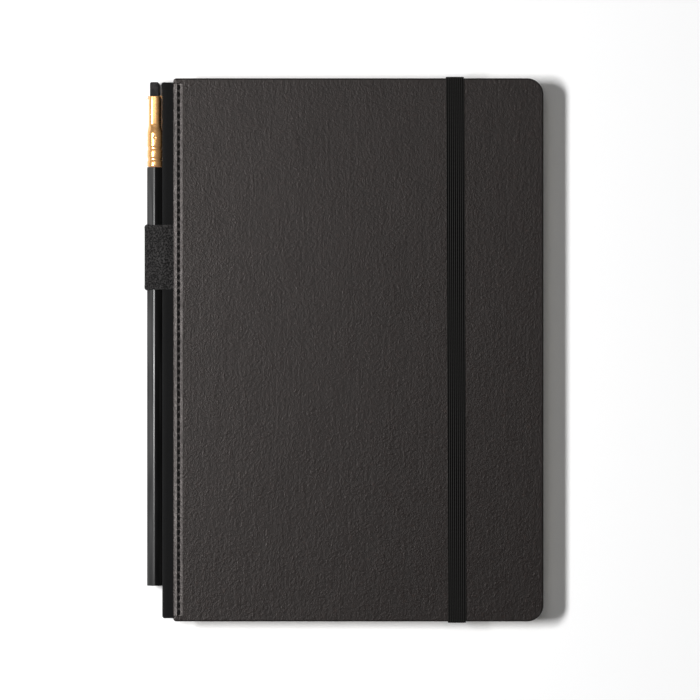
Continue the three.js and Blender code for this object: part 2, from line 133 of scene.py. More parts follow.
class Graph:
    """A material's nodes, with short calls that add them and join them."""

    def __init__(self, name: str) -> None:
        """Starts an empty material.

        Args:
            name: the material's name.
        """
        self.material = bpy.data.materials.new(name)
        self.material.use_nodes = True
        self.tree = self.material.node_tree
        self.surface = self.tree.nodes["Principled BSDF"]

    def add(self, kind: str, inputs: dict[Any, Any] | None = None, **props: Any) -> bpy.types.Node:
        """Adds one shader node.

        Args:
            kind: the node's class without its ShaderNode prefix.
            inputs: values or sockets by input name or number.
            **props: settings of the node itself.

        Returns:
            The new node.
        """
        node = self.tree.nodes.new("ShaderNode" + kind)
        for key, value in props.items():
            setattr(node, key, value)
        for key, value in (inputs or {}).items():
            self.feed(node.inputs[key], value)
        return node

    def feed(self, socket: Socket, value: Any) -> None:
        """Joins a socket to another, or sets its value.

        Args:
            socket: the input to feed.
            value: a node, a socket or a plain value.
        """
        if isinstance(value, bpy.types.Node):
            value = value.outputs[0]
        if isinstance(value, Socket):
            self.tree.links.new(value, socket)
        else:
            socket.default_value = value

    def place(self, scale: Sequence[float] = (1, 1, 1), turn: float = 0.0) -> Socket:
        """The piece's own coordinates, stretched by scale and turned about Z.

        Args:
            scale: a factor along each axis.
            turn: an angle in radians.

        Returns:
            The vector socket.
        """
        source = self.add("TexCoord").outputs["Object"]
        if tuple(scale) == (1, 1, 1) and not turn:
            return source
        mapping = self.add("Mapping", {"Vector": source, "Scale": scale, "Rotation": (0, 0, turn)})
        return mapping.outputs[0]

    def along(self) -> Socket:
        """The distance along and across a woven strip, which its points store.

        Returns:
            The two distances as a vector.
        """
        run = self.add("Attribute", attribute_name="run").outputs["Fac"]
        across = self.add("Attribute", attribute_name="across").outputs["Fac"]
        return self.add("CombineXYZ", {"X": run, "Y": across}).outputs[0]

    def noise(self, vector: Any, size: float, detail: float = 4.0, rough: float = 0.55) -> Socket:
        """Noise whose features are about size metres across."""
        inputs = {"Vector": vector, "Scale": 1.0 / size, "Detail": detail, "Roughness": rough}
        return self.add("TexNoise", inputs).outputs["Fac"]

    def cells(self, vector: Any, size: float, smooth: float) -> Socket:
        """Rounded cells about size metres across, low at their centres."""
        inputs = {"Vector": vector, "Scale": 1.0 / size, "Smoothness": smooth}
        return self.add("TexVoronoi", inputs, feature="SMOOTH_F1").outputs["Distance"]

    def waves(self, vector: Any, pitch: float, axis: str, distortion: float = 0.0) -> Socket:
        """Parallel waves with the given pitch in metres, crossing the given axis."""
        inputs = {"Vector": vector, "Scale": WAVE_SCALE / pitch, "Distortion": distortion, "Detail": 1.0}
        return self.add("TexWave", inputs, bands_direction=axis).outputs["Fac"]

    def math(self, operation: str, a: Any, b: Any = 0.0) -> Socket:
        """A number made from one or two others."""
        return self.add("Math", {0: a, 1: b}, operation=operation).outputs[0]

    def fit(self, value: Any, low: float, high: float, to_low: float = 0.0, to_high: float = 1.0) -> Socket:
        """A value mapped smoothly from one range to another, and held inside it."""
        inputs = {"Value": value, "From Min": low, "From Max": high, "To Min": to_low, "To Max": to_high}
        return self.add("MapRange", inputs, interpolation_type="SMOOTHSTEP").outputs[0]

    def mix(self, *shares: tuple[Any, float]) -> Socket:
        """A sum of values, each times its share.

        Args:
            *shares: pairs of a value and its share.

        Returns:
            The sum.
        """
        parts = [self.math("MULTIPLY", value, share) for value, share in shares]
        total = parts[0]
        for part in parts[1:]:
            total = self.math("ADD", total, part)
        return total

    def blend(self, factor: Any, a: Any, b: Any) -> Socket:
        """Two colours mixed by a factor."""
        a, b = ((*c, 1.0) if isinstance(c, tuple) else c for c in (a, b))
        return self.add("Mix", {0: factor, 6: a, 7: b}, data_type="RGBA").outputs[2]

    def bump(self, height: Any, strength: float, depth: float, onto: Any = None) -> Socket:
        """A normal raised by a height, over another one if given.

        Args:
            height: the height, from 0 to 1.
            strength: how much of it shows.
            depth: the height of 1 in metres.
            onto: the normal underneath.

        Returns:
            The normal.
        """
        inputs = {"Height": height, "Strength": strength, "Distance": depth}
        if onto is not None:
            inputs["Normal"] = onto
        return self.add("Bump", inputs).outputs[0]

    def close(self, **inputs: Any) -> Material:
        """Feeds the surface shader and returns the material.

        Args:
            **inputs: shader inputs, with spaces written as underscores.

        Returns:
            The finished material.
        """
        for key, value in inputs.items():
            value = (*value, 1.0) if isinstance(value, tuple) and len(value) == 3 else value
            self.feed(self.surface.inputs[key.replace("_", " ")], value)
        return self.material


@dataclass(frozen=True)
class Finish:
    """A finish that is made once and then shared."""

    name: str
    slot: str

    def draw(self, g: Graph) -> Material:
        """Builds the nodes. Each finish says how.

        Args:
            g: the material's graph.

        Returns:
            The finished material.
        """
        raise NotImplementedError

    def material(self) -> Material:
        """The finish's material, made on first use."""
        found = bpy.data.materials.get(self.name)
        return found if found else self.draw(Graph(self.name))


@dataclass(frozen=True)
class Leatherette(Finish):
    """Matte coated cover material: fine pebbled grain, mottled, with faint upright streaks."""

    dark: Colour = (0.0012, 0.0008, 0.0008)
    light: Colour = (0.0058, 0.0038, 0.0034)
    warm: Colour = (0.045, 0.024, 0.018)
    mottle: float = 0.0075
    speck: float = 0.0011
    streak: float = 0.0012
    grain: float = 0.00055
    rim: tuple[float, float] = (0.0012, 0.0010)

    def draw(self, g: Graph) -> Material:
        """Builds the nodes.

        Args:
            g: the material's graph.

        Returns:
            The finished material.
        """
        here = g.place()
        mottle = g.noise(here, self.mottle, 6.0, 0.62)
        speck = g.noise(here, self.speck, 4.0, 0.7)
        streak = g.noise(g.place((1.0, 0.09, 1.0)), self.streak, 3.0, 0.6)
        shade = g.mix((speck, 0.62), (mottle, 0.28), (streak, 0.10))
        base = g.blend(g.fit(shade, 0.36, 0.64), self.dark, self.light)
        fibre = g.noise(here, 0.0021, 5.0, 0.7)
        base = g.blend(g.fit(fibre, 0.56, 0.78, 0.0, 0.28), base, self.warm)
        base = g.blend(g.math("MULTIPLY", self.wear(g, here), 0.12), base, (0.06, 0.055, 0.05))
        gloss = g.mix((speck, 0.65), (mottle, 0.35))
        normal = g.bump(g.noise(here, 0.03, 2.0), 0.3, 0.0006)
        normal = g.bump(g.mix((speck, 1.0), (streak, 0.3)), 0.8, 0.00019, normal)
        normal = g.bump(g.cells(here, self.grain, 0.45), 0.5, 0.00006, normal)
        normal = g.bump(g.noise(here, 0.00028, 3.0), 0.35, 0.00004, normal)
        return g.close(
            Base_Color=base,
            Roughness=g.fit(gloss, 0.36, 0.64, 0.46, 0.31),
            Normal=normal,
            Specular_IOR_Level=0.33,
            Specular_Tint=(1.0, 0.92, 0.89),
        )

    def wear(self, g: Graph, here: Socket) -> Socket:
        """Where the cover's edges are rubbed, in patches.

        Args:
            g: the material's graph.
            here: the piece's own coordinates.

        Returns:
            1 where it is rubbed most.
        """
        split = g.add("SeparateXYZ", {0: here})
        edges = []
        for axis, size in enumerate((PANEL_W, PANEL_H)):
            reach = size / 2 * MM + 0.0001
            away = g.math("ABSOLUTE", split.outputs[axis])
            edges.append(g.fit(away, reach - self.rim[axis], reach))
        return g.math("MULTIPLY", g.math("MAXIMUM", *edges), g.fit(g.noise(here, 0.004), 0.5, 0.75))


@dataclass(frozen=True)
class BookCloth(Finish):
    """Black book cloth with a tight plain weave and a little nap."""

    ink: Colour = (0.0018, 0.0018, 0.0019)
    nap: Colour = (0.0075, 0.0075, 0.0078)
    pitch: float = 0.00042

    def draw(self, g: Graph) -> Material:
        """Builds the nodes.

        Args:
            g: the material's graph.

        Returns:
            The finished material.
        """
        here = g.along()
        weave = g.math("MAXIMUM", *(g.waves(here, self.pitch, axis, 0.35) for axis in "XY"))
        fuzz = g.noise(here, 0.0009, 5.0, 0.7)
        base = g.blend(g.math("MULTIPLY", weave, g.fit(fuzz, 0.3, 0.75)), self.ink, self.nap)
        normal = g.bump(weave, 0.5, 0.00006)
        normal = g.bump(fuzz, 0.3, 0.00005, normal)
        return g.close(
            Base_Color=base,
            Roughness=g.fit(fuzz, 0.2, 0.8, 0.82, 0.96),
            Normal=normal,
            Sheen_Weight=0.03,
            Specular_IOR_Level=0.16,
        )


@dataclass(frozen=True)
class RibbedElastic(Finish):
    """Woven elastic: covered rubber cords side by side, crossed by fine binding threads, with painted shade
    in the gaps between the cords.
    """

    cord: Colour = (0.0360, 0.0350, 0.0335)
    # The gap colour is the painted shade between the cords, near black.
    gap: Colour = (0.0001, 0.0001, 0.0001)
    rib: float = BAND_W / BAND_RIBS * MM
    pick: float = 0.00052

    def draw(self, g: Graph) -> Material:
        """Builds the nodes.

        Args:
            g: the material's graph.

        Returns:
            The finished material.
        """
        here = g.along()
        ribs = g.waves(here, self.rib, "Y")
        picks = g.waves(here, self.pick, "X", 1.2)
        fuzz = g.noise(here, 0.0006, 4.0, 0.7)
        woven = g.fit(g.math("ADD", picks, fuzz), 0.35, 1.3, 0.45, 1.0)
        # Painted shade: the gaps between the cords fade to the near-black gap colour, and the raised cords
        # keep the lighter cord colour, varied by the crossing threads.
        ribs_lit_gaps_shaded = g.math("MULTIPLY", g.fit(ribs, 0.62, 0.96), woven)
        normal = g.bump(picks, 0.6, 0.00008)
        normal = g.bump(fuzz, 0.4, 0.00004, normal)
        return g.close(
            Base_Color=g.blend(ribs_lit_gaps_shaded, self.gap, self.cord),
            Roughness=g.fit(fuzz, 0.2, 0.8, 0.62, 0.85),
            Normal=normal,
            Specular_IOR_Level=0.05,
        )


@dataclass(frozen=True)
class CrepeElastic(Finish):
    """The loop's flat elastic, with a pebbly crepe weave whose low spots carry painted shade and whose
    raised spots are painted lighter.
    """

    dark: Colour = (0.0022, 0.0021, 0.0021)
    light: Colour = (0.034, 0.0325, 0.032)
    row: float = 0.0006

    def draw(self, g: Graph) -> Material:
        """Builds the nodes.

        Args:
            g: the material's graph.

        Returns:
            The finished material.
        """
        here = g.along()
        crepe = g.noise(here, 0.00075, 5.0, 0.78)
        knots = g.cells(here, self.row, 0.3)
        rows = g.waves(here, self.row, "Y", 2.5)
        lift = g.mix((crepe, 0.7), (knots, 0.35), (rows, 0.05))
        normal = g.bump(lift, 0.85, 0.00016)
        # Painted shade and light: the colour follows the crepe's height, dark in its low spots and light on
        # its raised ones.
        return g.close(
            Base_Color=g.blend(g.fit(lift, 0.45, 0.72), self.dark, self.light),
            Roughness=g.fit(crepe, 0.3, 0.7, 0.8, 0.95),
            Normal=normal,
            Sheen_Weight=0.04,
            Specular_IOR_Level=0.15,
        )


@dataclass(frozen=True)
class WaxedThread(Finish):
    """Twisted black sewing thread with a wax bloom."""

    black: Colour = (0.0005, 0.0005, 0.0005)
    wax: Colour = (0.0035, 0.0033, 0.0032)
    ply: float = 0.00038

    def draw(self, g: Graph) -> Material:
        """Builds the nodes.

        Args:
            g: the material's graph.

        Returns:
            The finished material.
        """
        twist = g.waves(g.place(turn=0.7), self.ply, "X", 0.6)
        bloom = g.noise(g.place(), 0.0015, 3.0)
        base = g.blend(g.math("MULTIPLY", twist, bloom), self.black, self.wax)
        return g.close(
            Base_Color=base,
            Roughness=g.fit(bloom, 0.3, 0.7, 0.62, 0.78),
            Normal=g.bump(twist, 0.7, 0.00008),
            Specular_IOR_Level=0.12,
        )


@dataclass(frozen=True)
class PlainWeave(Finish):
    """Natural linen, gauze or thread."""

    tone: Colour = (0.62, 0.55, 0.42)
    pitch: float = 0.0007

    def draw(self, g: Graph) -> Material:
        """Builds the nodes.

        Args:
            g: the material's graph.

        Returns:
            The finished material.
        """
        here = g.place()
        weave = g.math("MAXIMUM", *(g.waves(here, self.pitch, axis, 0.6) for axis in "ZY"))
        fibre = g.noise(here, 0.001, 4.0, 0.7)
        shadow = tuple(0.55 * c for c in self.tone)
        base = g.blend(g.math("MULTIPLY", weave, g.fit(fibre, 0.25, 0.7)), shadow, self.tone)
        return g.close(
            Base_Color=base,
            Roughness=g.fit(fibre, 0.2, 0.8, 0.8, 0.95),
            Normal=g.bump(weave, 0.6, 0.00012),
        )


@dataclass(frozen=True)
class Paper(Finish):
    """Uncoated paper; its cut edges show the separate sheets as fine lines of painted shade between them.
    """

    tone: Colour = (0.78, 0.73, 0.61)
    cloudy: Colour = (0.985, 0.975, 0.95)
    fleck: Colour = (0.66, 0.58, 0.45)
    # The darker colour of the painted shade between the sheets on the cut edges.
    sheet_gap_shade: Colour = (0.42, 0.36, 0.27)
    sheet: float = 0.00013

    def draw(self, g: Graph) -> Material:
        """Builds the nodes.

        Args:
            g: the material's graph.

        Returns:
            The finished material.
        """
        here = g.place()
        fibre = g.noise(here, 0.0009, 6.0, 0.7)
        cloud = g.noise(here, 0.02, 3.0)
        warm = tuple(c * k for c, k in zip(self.tone, self.cloudy))
        face = g.blend(g.fit(cloud, 0.3, 0.7), self.tone, warm)
        face = g.blend(g.fit(fibre, 0.62, 0.8, 0.0, 0.25), face, self.fleck)
        facing = g.add("SeparateXYZ", {0: g.add("NewGeometry").outputs["True Normal"]})
        edge = g.fit(g.math("ABSOLUTE", facing.outputs[2]), 0.75, 0.35)
        # Painted shade: on the cut edges only, fine lines in a darker colour stand for the shade between
        # the sheets.
        lines = g.waves(g.place((0.02, 0.02, 1.0)), self.sheet, "Z", 2.0)
        sheet_gap_shade_amount = g.math("MULTIPLY", edge, g.math("MULTIPLY", g.fit(lines, 0.55, 0.1), 0.55))
        base = g.blend(sheet_gap_shade_amount, face, self.sheet_gap_shade)
        normal = g.bump(fibre, 0.25, 0.00003)
        normal = g.bump(g.math("MULTIPLY", lines, edge), 0.4, 0.00004, normal)
        return g.close(Base_Color=base, Roughness=g.fit(fibre, 0.2, 0.8, 0.78, 0.92), Normal=normal)


@dataclass(frozen=True)
class GreyBoard(Finish):
    """Raw pressed board with flecks."""

    def draw(self, g: Graph) -> Material:
        """Builds the nodes.

        Args:
            g: the material's graph.

        Returns:
            The finished material.
        """
        here = g.place()
        fleck = g.noise(here, 0.0016, 6.0, 0.75)
        base = g.blend(g.fit(fleck, 0.35, 0.7), (0.19, 0.165, 0.13), (0.36, 0.32, 0.26))
        return g.close(
            Base_Color=base,
            Roughness=g.fit(fleck, 0.2, 0.8, 0.85, 0.97),
            Normal=g.bump(fleck, 0.4, 0.00008),
        )


@dataclass(frozen=True)
class Lacquer(Finish):
    """Satin black pencil lacquer with fine handling marks."""

    coat: Colour = (0.0005, 0.0005, 0.0005)

    def draw(self, g: Graph) -> Material:
        """Builds the nodes.

        Args:
            g: the material's graph.

        Returns:
            The finished material.
        """
        rub = g.noise(g.place((1.0, 0.04, 1.0)), 0.0012, 4.0, 0.6)
        dust = g.noise(g.place(), 0.0005, 2.0)
        base = g.blend(g.fit(rub, 0.4, 0.75), self.coat, (0.0016, 0.0014, 0.0014))
        normal = g.bump(rub, 0.12, 0.00004)
        normal = g.bump(dust, 0.1, 0.00002, normal)
        return g.close(
            Base_Color=base,
            Roughness=g.fit(rub, 0.3, 0.7, 0.3, 0.42),
            Normal=normal,
            Specular_IOR_Level=1.0,
        )


@dataclass(frozen=True)
class CedarEnd(Finish):
    """The pencil's sawn wood, with growth lines."""

    def draw(self, g: Graph) -> Material:
        """Builds the nodes.

        Args:
            g: the material's graph.

        Returns:
            The finished material.
        """
        rings = g.waves(g.place((1.0, 0.05, 1.0)), 0.0011, "X", 3.0)
        pore = g.noise(g.place(), 0.0004, 3.0)
        base = g.blend(g.math("MULTIPLY", rings, pore), (0.44, 0.24, 0.13), (0.25, 0.11, 0.055))
        return g.close(
            Base_Color=base,
            Roughness=g.fit(pore, 0.3, 0.7, 0.7, 0.85),
            Normal=g.bump(pore, 0.4, 0.00005),
        )


@dataclass(frozen=True)
class Graphite(Finish):
    """Burnished pencil lead."""

    def draw(self, g: Graph) -> Material:
        """Builds the nodes.

        Args:
            g: the material's graph.

        Returns:
            The finished material.
        """
        smear = g.noise(g.place(), 0.0006, 4.0)
        return g.close(
            Base_Color=g.blend(smear, (0.035, 0.036, 0.04), (0.09, 0.09, 0.095)),
            Roughness=g.fit(smear, 0.3, 0.7, 0.32, 0.55),
            Normal=g.bump(smear, 0.2, 0.00003),
            Metallic=0.4,
        )


@dataclass(frozen=True)
class Brass(Finish):
    """Bright pressed brass, dulled in random patches of tarnish."""

    bright: Colour = (0.95, 0.51, 0.20)
    dull: Colour = (0.60, 0.28, 0.09)

    def draw(self, g: Graph) -> Material:
        """Builds the nodes.

        Args:
            g: the material's graph.

        Returns:
            The finished material.
        """
        draw_marks = g.noise(g.place((1.0, 0.05, 1.0)), 0.0006, 3.0)
        tarnish = g.noise(g.place(), 0.0022, 5.0, 0.65)
        base = g.blend(g.fit(tarnish, 0.5, 0.85, 0.0, 0.7), self.bright, self.dull)
        normal = g.bump(draw_marks, 0.05, 0.00001)
        normal = g.bump(g.noise(g.place(), 0.003, 2.0), 0.12, 0.00005, normal)
        return g.close(
            Base_Color=base,
            Roughness=g.fit(g.math("ADD", tarnish, draw_marks), 0.7, 1.4, 0.2, 0.34),
            Normal=normal,
            Metallic=0.7,
        )


@dataclass(frozen=True)
class EraserRubber(Finish):
    """Dull dark rubber with a dusting of crumbs."""

    black: Colour = (0.010, 0.0095, 0.0098)
    crumb: Colour = (0.040, 0.036, 0.036)

    def draw(self, g: Graph) -> Material:
        """Builds the nodes.

        Args:
            g: the material's graph.

        Returns:
            The finished material.
        """
        here = g.place()
        grit = g.noise(here, 0.0004, 4.0, 0.7)
        smear = g.noise(here, 0.0025, 3.0)
        dusty = g.fit(g.math("ADD", grit, smear), 0.8, 1.35)
        base = g.blend(dusty, self.black, self.crumb)
        return g.close(
            Base_Color=base,
            Roughness=g.fit(grit, 0.2, 0.8, 0.8, 0.94),
            Normal=g.bump(grit, 0.5, 0.00007),
            Specular_IOR_Level=0.2,
        )


@dataclass(frozen=True)
class PaleFloor(Finish):
    """The studio's plain white sweep."""

    def draw(self, g: Graph) -> Material:
        """Builds the nodes.

        Args:
            g: the material's graph.

        Returns:
            The finished material.
        """
        haze = g.noise(g.place(), 0.3, 2.0)
        return g.close(Base_Color=g.blend(haze, (0.90, 0.90, 0.905), (0.92, 0.92, 0.92)), Roughness=0.9)


LEATHERETTE = Leatherette("leatherette_matte", "leatherette")
CLOTH = BookCloth("book_cloth_black", "cloth")
ELASTIC = RibbedElastic("elastic_ribbed", "elastic")
CREPE = CrepeElastic("elastic_crepe", "strap")
THREAD = WaxedThread("thread_waxed", "thread")
LINEN = PlainWeave("linen_natural", "linen")
PAPER = Paper("paper_cream", "paper")
ENDPAPER = Paper("paper_end", "endpaper", (0.73, 0.67, 0.55))
BOARD = GreyBoard("board_grey", "board")
LACQUER = Lacquer("lacquer_black", "lacquer")
CEDAR = CedarEnd("cedar_sawn", "lacquer")
GRAPHITE = Graphite("graphite_core", "graphite")
BRASS = Brass("brass_pressed", "brass")
RUBBER = EraserRubber("rubber_dull", "rubber")
FLOOR = PaleFloor("floor_pale", "")


# ------------------------------------------------------------------ mesh helpers


def faces_where(bm: BMesh, test: Callable[[BMFace], bool]) -> list[BMFace]:
    """The faces that pass a test, with fresh normals."""
    bm.normal_update()
    return [f for f in bm.faces if test(f)]


def edges_where(bm: BMesh, test: Callable[[BMEdge], bool]) -> list[BMEdge]:
    """The edges that pass a test, with fresh normals."""
    bm.normal_update()
    return [e for e in bm.edges if test(e)]


def middle(edge: BMEdge) -> Vector:
    """An edge's middle point."""
    return (edge.verts[0].co + edge.verts[1].co) / 2


def round_edges(bm: BMesh, edges: Iterable[BMEdge], radius: float, segments: int) -> None:
    """Rounds edges by a radius.

    Args:
        bm: the mesh.
        edges: its edges to round.
        radius: the rounding's size in millimetres.
        segments: the number of faces across it.
    """
    bmesh.ops.bevel(
        bm,
        geom=list(edges),
        offset=radius,
        offset_type="OFFSET",
        segments=segments,
        profile=0.5,
        affect="EDGES",
        clamp_overlap=True,
        material=-1,
    )


def cut(bm: BMesh, point: Sequence[float], normal: Sequence[float]) -> None:
    """Cuts every face that a plane crosses."""
    geom = [*bm.verts, *bm.edges, *bm.faces]
    bmesh.ops.bisect_plane(bm, geom=geom, dist=CUT_DIST, plane_co=point, plane_no=normal)


def block(bm: BMesh, low: Sequence[float], high: Sequence[float]) -> None:
    """Adds a box.

    Args:
        bm: the mesh.
        low: its lowest corner.
        high: its highest corner.
    """
    size = [b - a for a, b in zip(low, high)]
    centre = Vector([(a + b) / 2 for a, b in zip(low, high)])
    matrix = Matrix.Translation(centre) @ Matrix.Diagonal((*size, 1.0))
    bmesh.ops.create_cube(bm, size=1.0, matrix=matrix)


def turn_over(bm: BMesh) -> None:
    """Mirrors a mesh drawn for the front of the book to its back."""
    bmesh.ops.scale(bm, vec=(1, 1, -1), verts=bm.verts)
    bmesh.ops.translate(bm, vec=(0, 0, BOOK_T), verts=bm.verts)


def upright(edge: BMEdge) -> bool:
    """Whether an edge runs along Z."""
    a, b = (v.co for v in edge.verts)
    return abs(a.z - b.z) > 0.9 * (a - b).length


def rim_of(bm: BMesh, up: float) -> list[BMEdge]:
    """The edges between a flat face and an upright wall.

    Args:
        bm: the mesh.
        up: 1 for a face that looks up, -1 for one that looks down.

    Returns:
        The edges.
    """

    def test(edge: BMEdge) -> bool:
        """Whether an edge joins such a face to a wall.

        Args:
            edge: the edge.

        Returns:
            True if it does.
        """
        if len(edge.link_faces) != 2:
            return False
        tilts = sorted(f.normal.z * up for f in edge.link_faces)
        return tilts[1] > 0.99 and abs(tilts[0]) < 0.1

    return edges_where(bm, test)


def rounded_path(corners: Sequence[Sequence[float]], segments: int = 8) -> list[Point2]:
    """Points along a line in the XZ plane whose corners are rounded.

    Args:
        corners: (x, z, radius) for each corner, with radius 0 for a plain point.
        segments: steps round each corner.

    Returns:
        The points in order.
    """
    out: list[Point2] = []
    for i, (x, z, r) in enumerate(corners):
        here = Vector((x, z))
        if not r:
            out.append((x, z))
            continue
        a = (Vector(corners[i - 1][:2]) - here).normalized()
        b = (Vector(corners[i + 1][:2]) - here).normalized()
        half = a.angle(b) / 2
        centre = here + (a + b).normalized() * (r / math.sin(half))
        start = here + a * (r / math.tan(half)) - centre
        end = here + b * (r / math.tan(half)) - centre
        turn = math.atan2(start.x * end.y - start.y * end.x, start.dot(end))
        for k in range(segments + 1):
            p = Matrix.Rotation(turn * k / segments, 2) @ start + centre
            out.append((p.x, p.y))
    return out


def evenly(low: float, high: float, steps: int) -> list[float]:
    """Steps + 1 numbers from low to high."""
    return [low + (high - low) * k / steps for k in range(steps + 1)]


def thinned(path: Sequence[Point2], step: float) -> list[Point2]:
    """Cuts a path's long straight runs.

    Args:
        path: its points.
        step: the longest step that stays.

    Returns:
        The path with more points.
    """
    out = [path[0]]
    for a, b in zip(path, path[1:]):
        count = max(1, math.ceil(math.dist(a, b) / step))
        for k in range(1, count + 1):
            out.append((a[0] + (b[0] - a[0]) * k / count, a[1] + (b[1] - a[1]) * k / count))
    return out


def strip(bm: BMesh, path: Sequence[Point2], y_cuts: Sequence[float], start: float = 0.0) -> None:
    """Builds an open strip whose path lies in the XZ plane, drawn out along Y by extrusion.

    Each point stores how far it is along the path and across the width, in metres.

    Args:
        bm: an empty mesh.
        path: the line it follows.
        y_cuts: where its rows of points lie along Y.
        start: how far along a longer strip this one starts, in millimetres.
    """
    run = bm.verts.layers.float.new("run")
    across = bm.verts.layers.float.new("across")
    row = [bm.verts.new((x, y_cuts[0], z)) for x, z in path]
    far = start
    for i, vert in enumerate(row):
        far += math.dist(path[i - 1], path[i]) if i else 0.0
        vert[run] = far * MM
        vert[across] = y_cuts[0] * MM
    edges = [bm.edges.new(pair) for pair in zip(row, row[1:])]
    for before, after in zip(y_cuts, y_cuts[1:]):
        grown = bmesh.ops.extrude_edge_only(bm, edges=edges)["geom"]
        moved = [g for g in grown if isinstance(g, BMVert)]
        edges = [g for g in grown if isinstance(g, BMEdge)]
        edges = [e for e in edges if all(v in moved for v in e.verts)]
        bmesh.ops.translate(bm, verts=moved, vec=(0, after - before, 0))
        for vert in moved:
            vert[across] = after * MM
    bmesh.ops.recalc_face_normals(bm, faces=bm.faces)


def smooth_step(value: float, low: float, high: float) -> float:
    """0 below low, 1 above high, and smooth between."""
    t = min(1.0, max(0.0, (value - low) / (high - low)))
    return t * t * (3 - 2 * t)


@dataclass
class Piece:
    """A mesh on its way to becoming a finished piece.

    A positive wall is centred on the sheet that it thickens, and a negative one lies inside it.
    Faces are shaded flat where they are larger than flat_area, or level and larger than level_area.
    """

    name: str
    finishes: Sequence[Finish]
    bm: BMesh = field(default_factory=bmesh.new)
    sharp: float = 35.0
    wall: float = 0.0
    flat_area: float = 120.0
    level_area: float = 5.0

    def close(self, *nodes: str) -> Object:
        """Scales the mesh to metres and makes it an object in the scene.

        Args:
            *nodes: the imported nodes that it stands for.

        Returns:
            The new object.
        """
        bm = self.bm
        bmesh.ops.recalc_face_normals(bm, faces=bm.faces)
        for face in bm.faces:
            area = face.calc_area()
            level = abs(face.normal.z) > 0.99999 and area > self.level_area
            face.smooth = area < self.flat_area and not level
        bmesh.ops.scale(bm, vec=(MM, MM, MM), verts=bm.verts)
        bm.normal_update()
        limit = math.radians(self.sharp)
        for edge in bm.edges:
            edge.smooth = len(edge.link_faces) == 2 and edge.calc_face_angle(0.0) < limit
        obj = new_object(self.name, bm, self.finishes)
        if self.wall:
            self.thicken(obj)
        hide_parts(*nodes)
        LOG.info("piece %s: %d faces for %s", self.name, len(obj.data.polygons), ", ".join(nodes))
        return obj

    def thicken(self, obj: Object) -> None:
        """Gives an open sheet its wall and keeps the result as its mesh.

        Args:
            obj: the sheet.
        """
        solid = obj.modifiers.new("wall", "SOLIDIFY")
        solid.thickness = abs(self.wall) * MM
        solid.offset = 0.0 if self.wall > 0 else -1.0
        solid.use_even_offset = True
        solid.use_quality_normals = True
        solid.use_rim = True
        keep_modified(obj)


def new_object(name: str, bm: BMesh, finishes: Sequence[Finish]) -> Object:
    """Makes an object of a mesh and puts it in the scene.

    Args:
        name: the object's name and its mesh's.
        bm: the mesh, which is freed.
        finishes: its finishes, in the order of its faces' material numbers.

    Returns:
        The new object.
    """
    mesh = bpy.data.meshes.new(name)
    bm.to_mesh(mesh)
    bm.free()
    for finish in finishes:
        mesh.materials.append(finish.material())
    obj = bpy.data.objects.new(name, mesh)
    bpy.context.scene.collection.objects.link(obj)
    return obj


def keep_modified(obj: Object) -> None:
    """Replaces an object's mesh by what its modifiers make of it.

    Args:
        obj: the object.
    """
    graph = bpy.context.evaluated_depsgraph_get()
    graph.update()
    shaped = obj.evaluated_get(graph)
    mesh = bpy.data.meshes.new_from_object(shaped, preserve_all_data_layers=True, depsgraph=graph)
    obj.modifiers.clear()
    old, obj.data = obj.data, mesh
    mesh.name = obj.name
    bpy.data.meshes.remove(old)


def bend_between(
    obj: Object,
) -> None:
    """Bakes a piece's placement into its mesh; the piece is neither bent nor attached to a body.

    Args:
        obj: the piece.
    """
    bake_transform(obj)


# ------------------------------------------------------------------ covers


@dataclass(frozen=True)
class CoverSizes:
    """Sizes of a cover panel, drawn as the front cover and mirrored for the back.

    The groove has four places along X: its mouth, its floor's two sides and its mouth again. A
    stitch has half sizes along X, Y and Z. The gap round the board is at its edges and its faces.
    """

    x0: float = PANEL_X0
    x1: float = PANEL_W / 2
    half_h: float = PANEL_H / 2
    z0: float = 12.9
    z1: float = BOOK_T
    fore_r: float = 6.5
    spine_r: float = 1.2
    rim_r: float = 0.6
    lip_w: float = 1.45
    lip_drop: float = 0.5
    skin: float = 0.22
    turn_in: float = 14.0
    turn_x0: float = -62.4
    slot: tuple[float, float] = (13.34, 13.86)
    groove: tuple[float, float, float, float] = (-72.1, -71.95, -70.95, -69.9)
    groove_end: float = 106.2
    groove_ramp: float = 0.4
    groove_rim_r: float = 0.12
    groove_depth: float = 0.36
    stitch_pitch: float = 2.9
    stitch_count: int = 73
    stitch: tuple[float, float, float] = (0.5, 1.14, 0.28)
    stitch_lift: float = 0.12
    board_gap: tuple[float, float] = (0.04, 0.03)
    paste_x: tuple[float, float] = (-76.7, 71.7)
    paste_half_h: float = 105.8
    paste_z: tuple[float, float] = (12.75, 12.87)
    paste_corner: float = 5.0
    paste_bend_x: float = -75.9


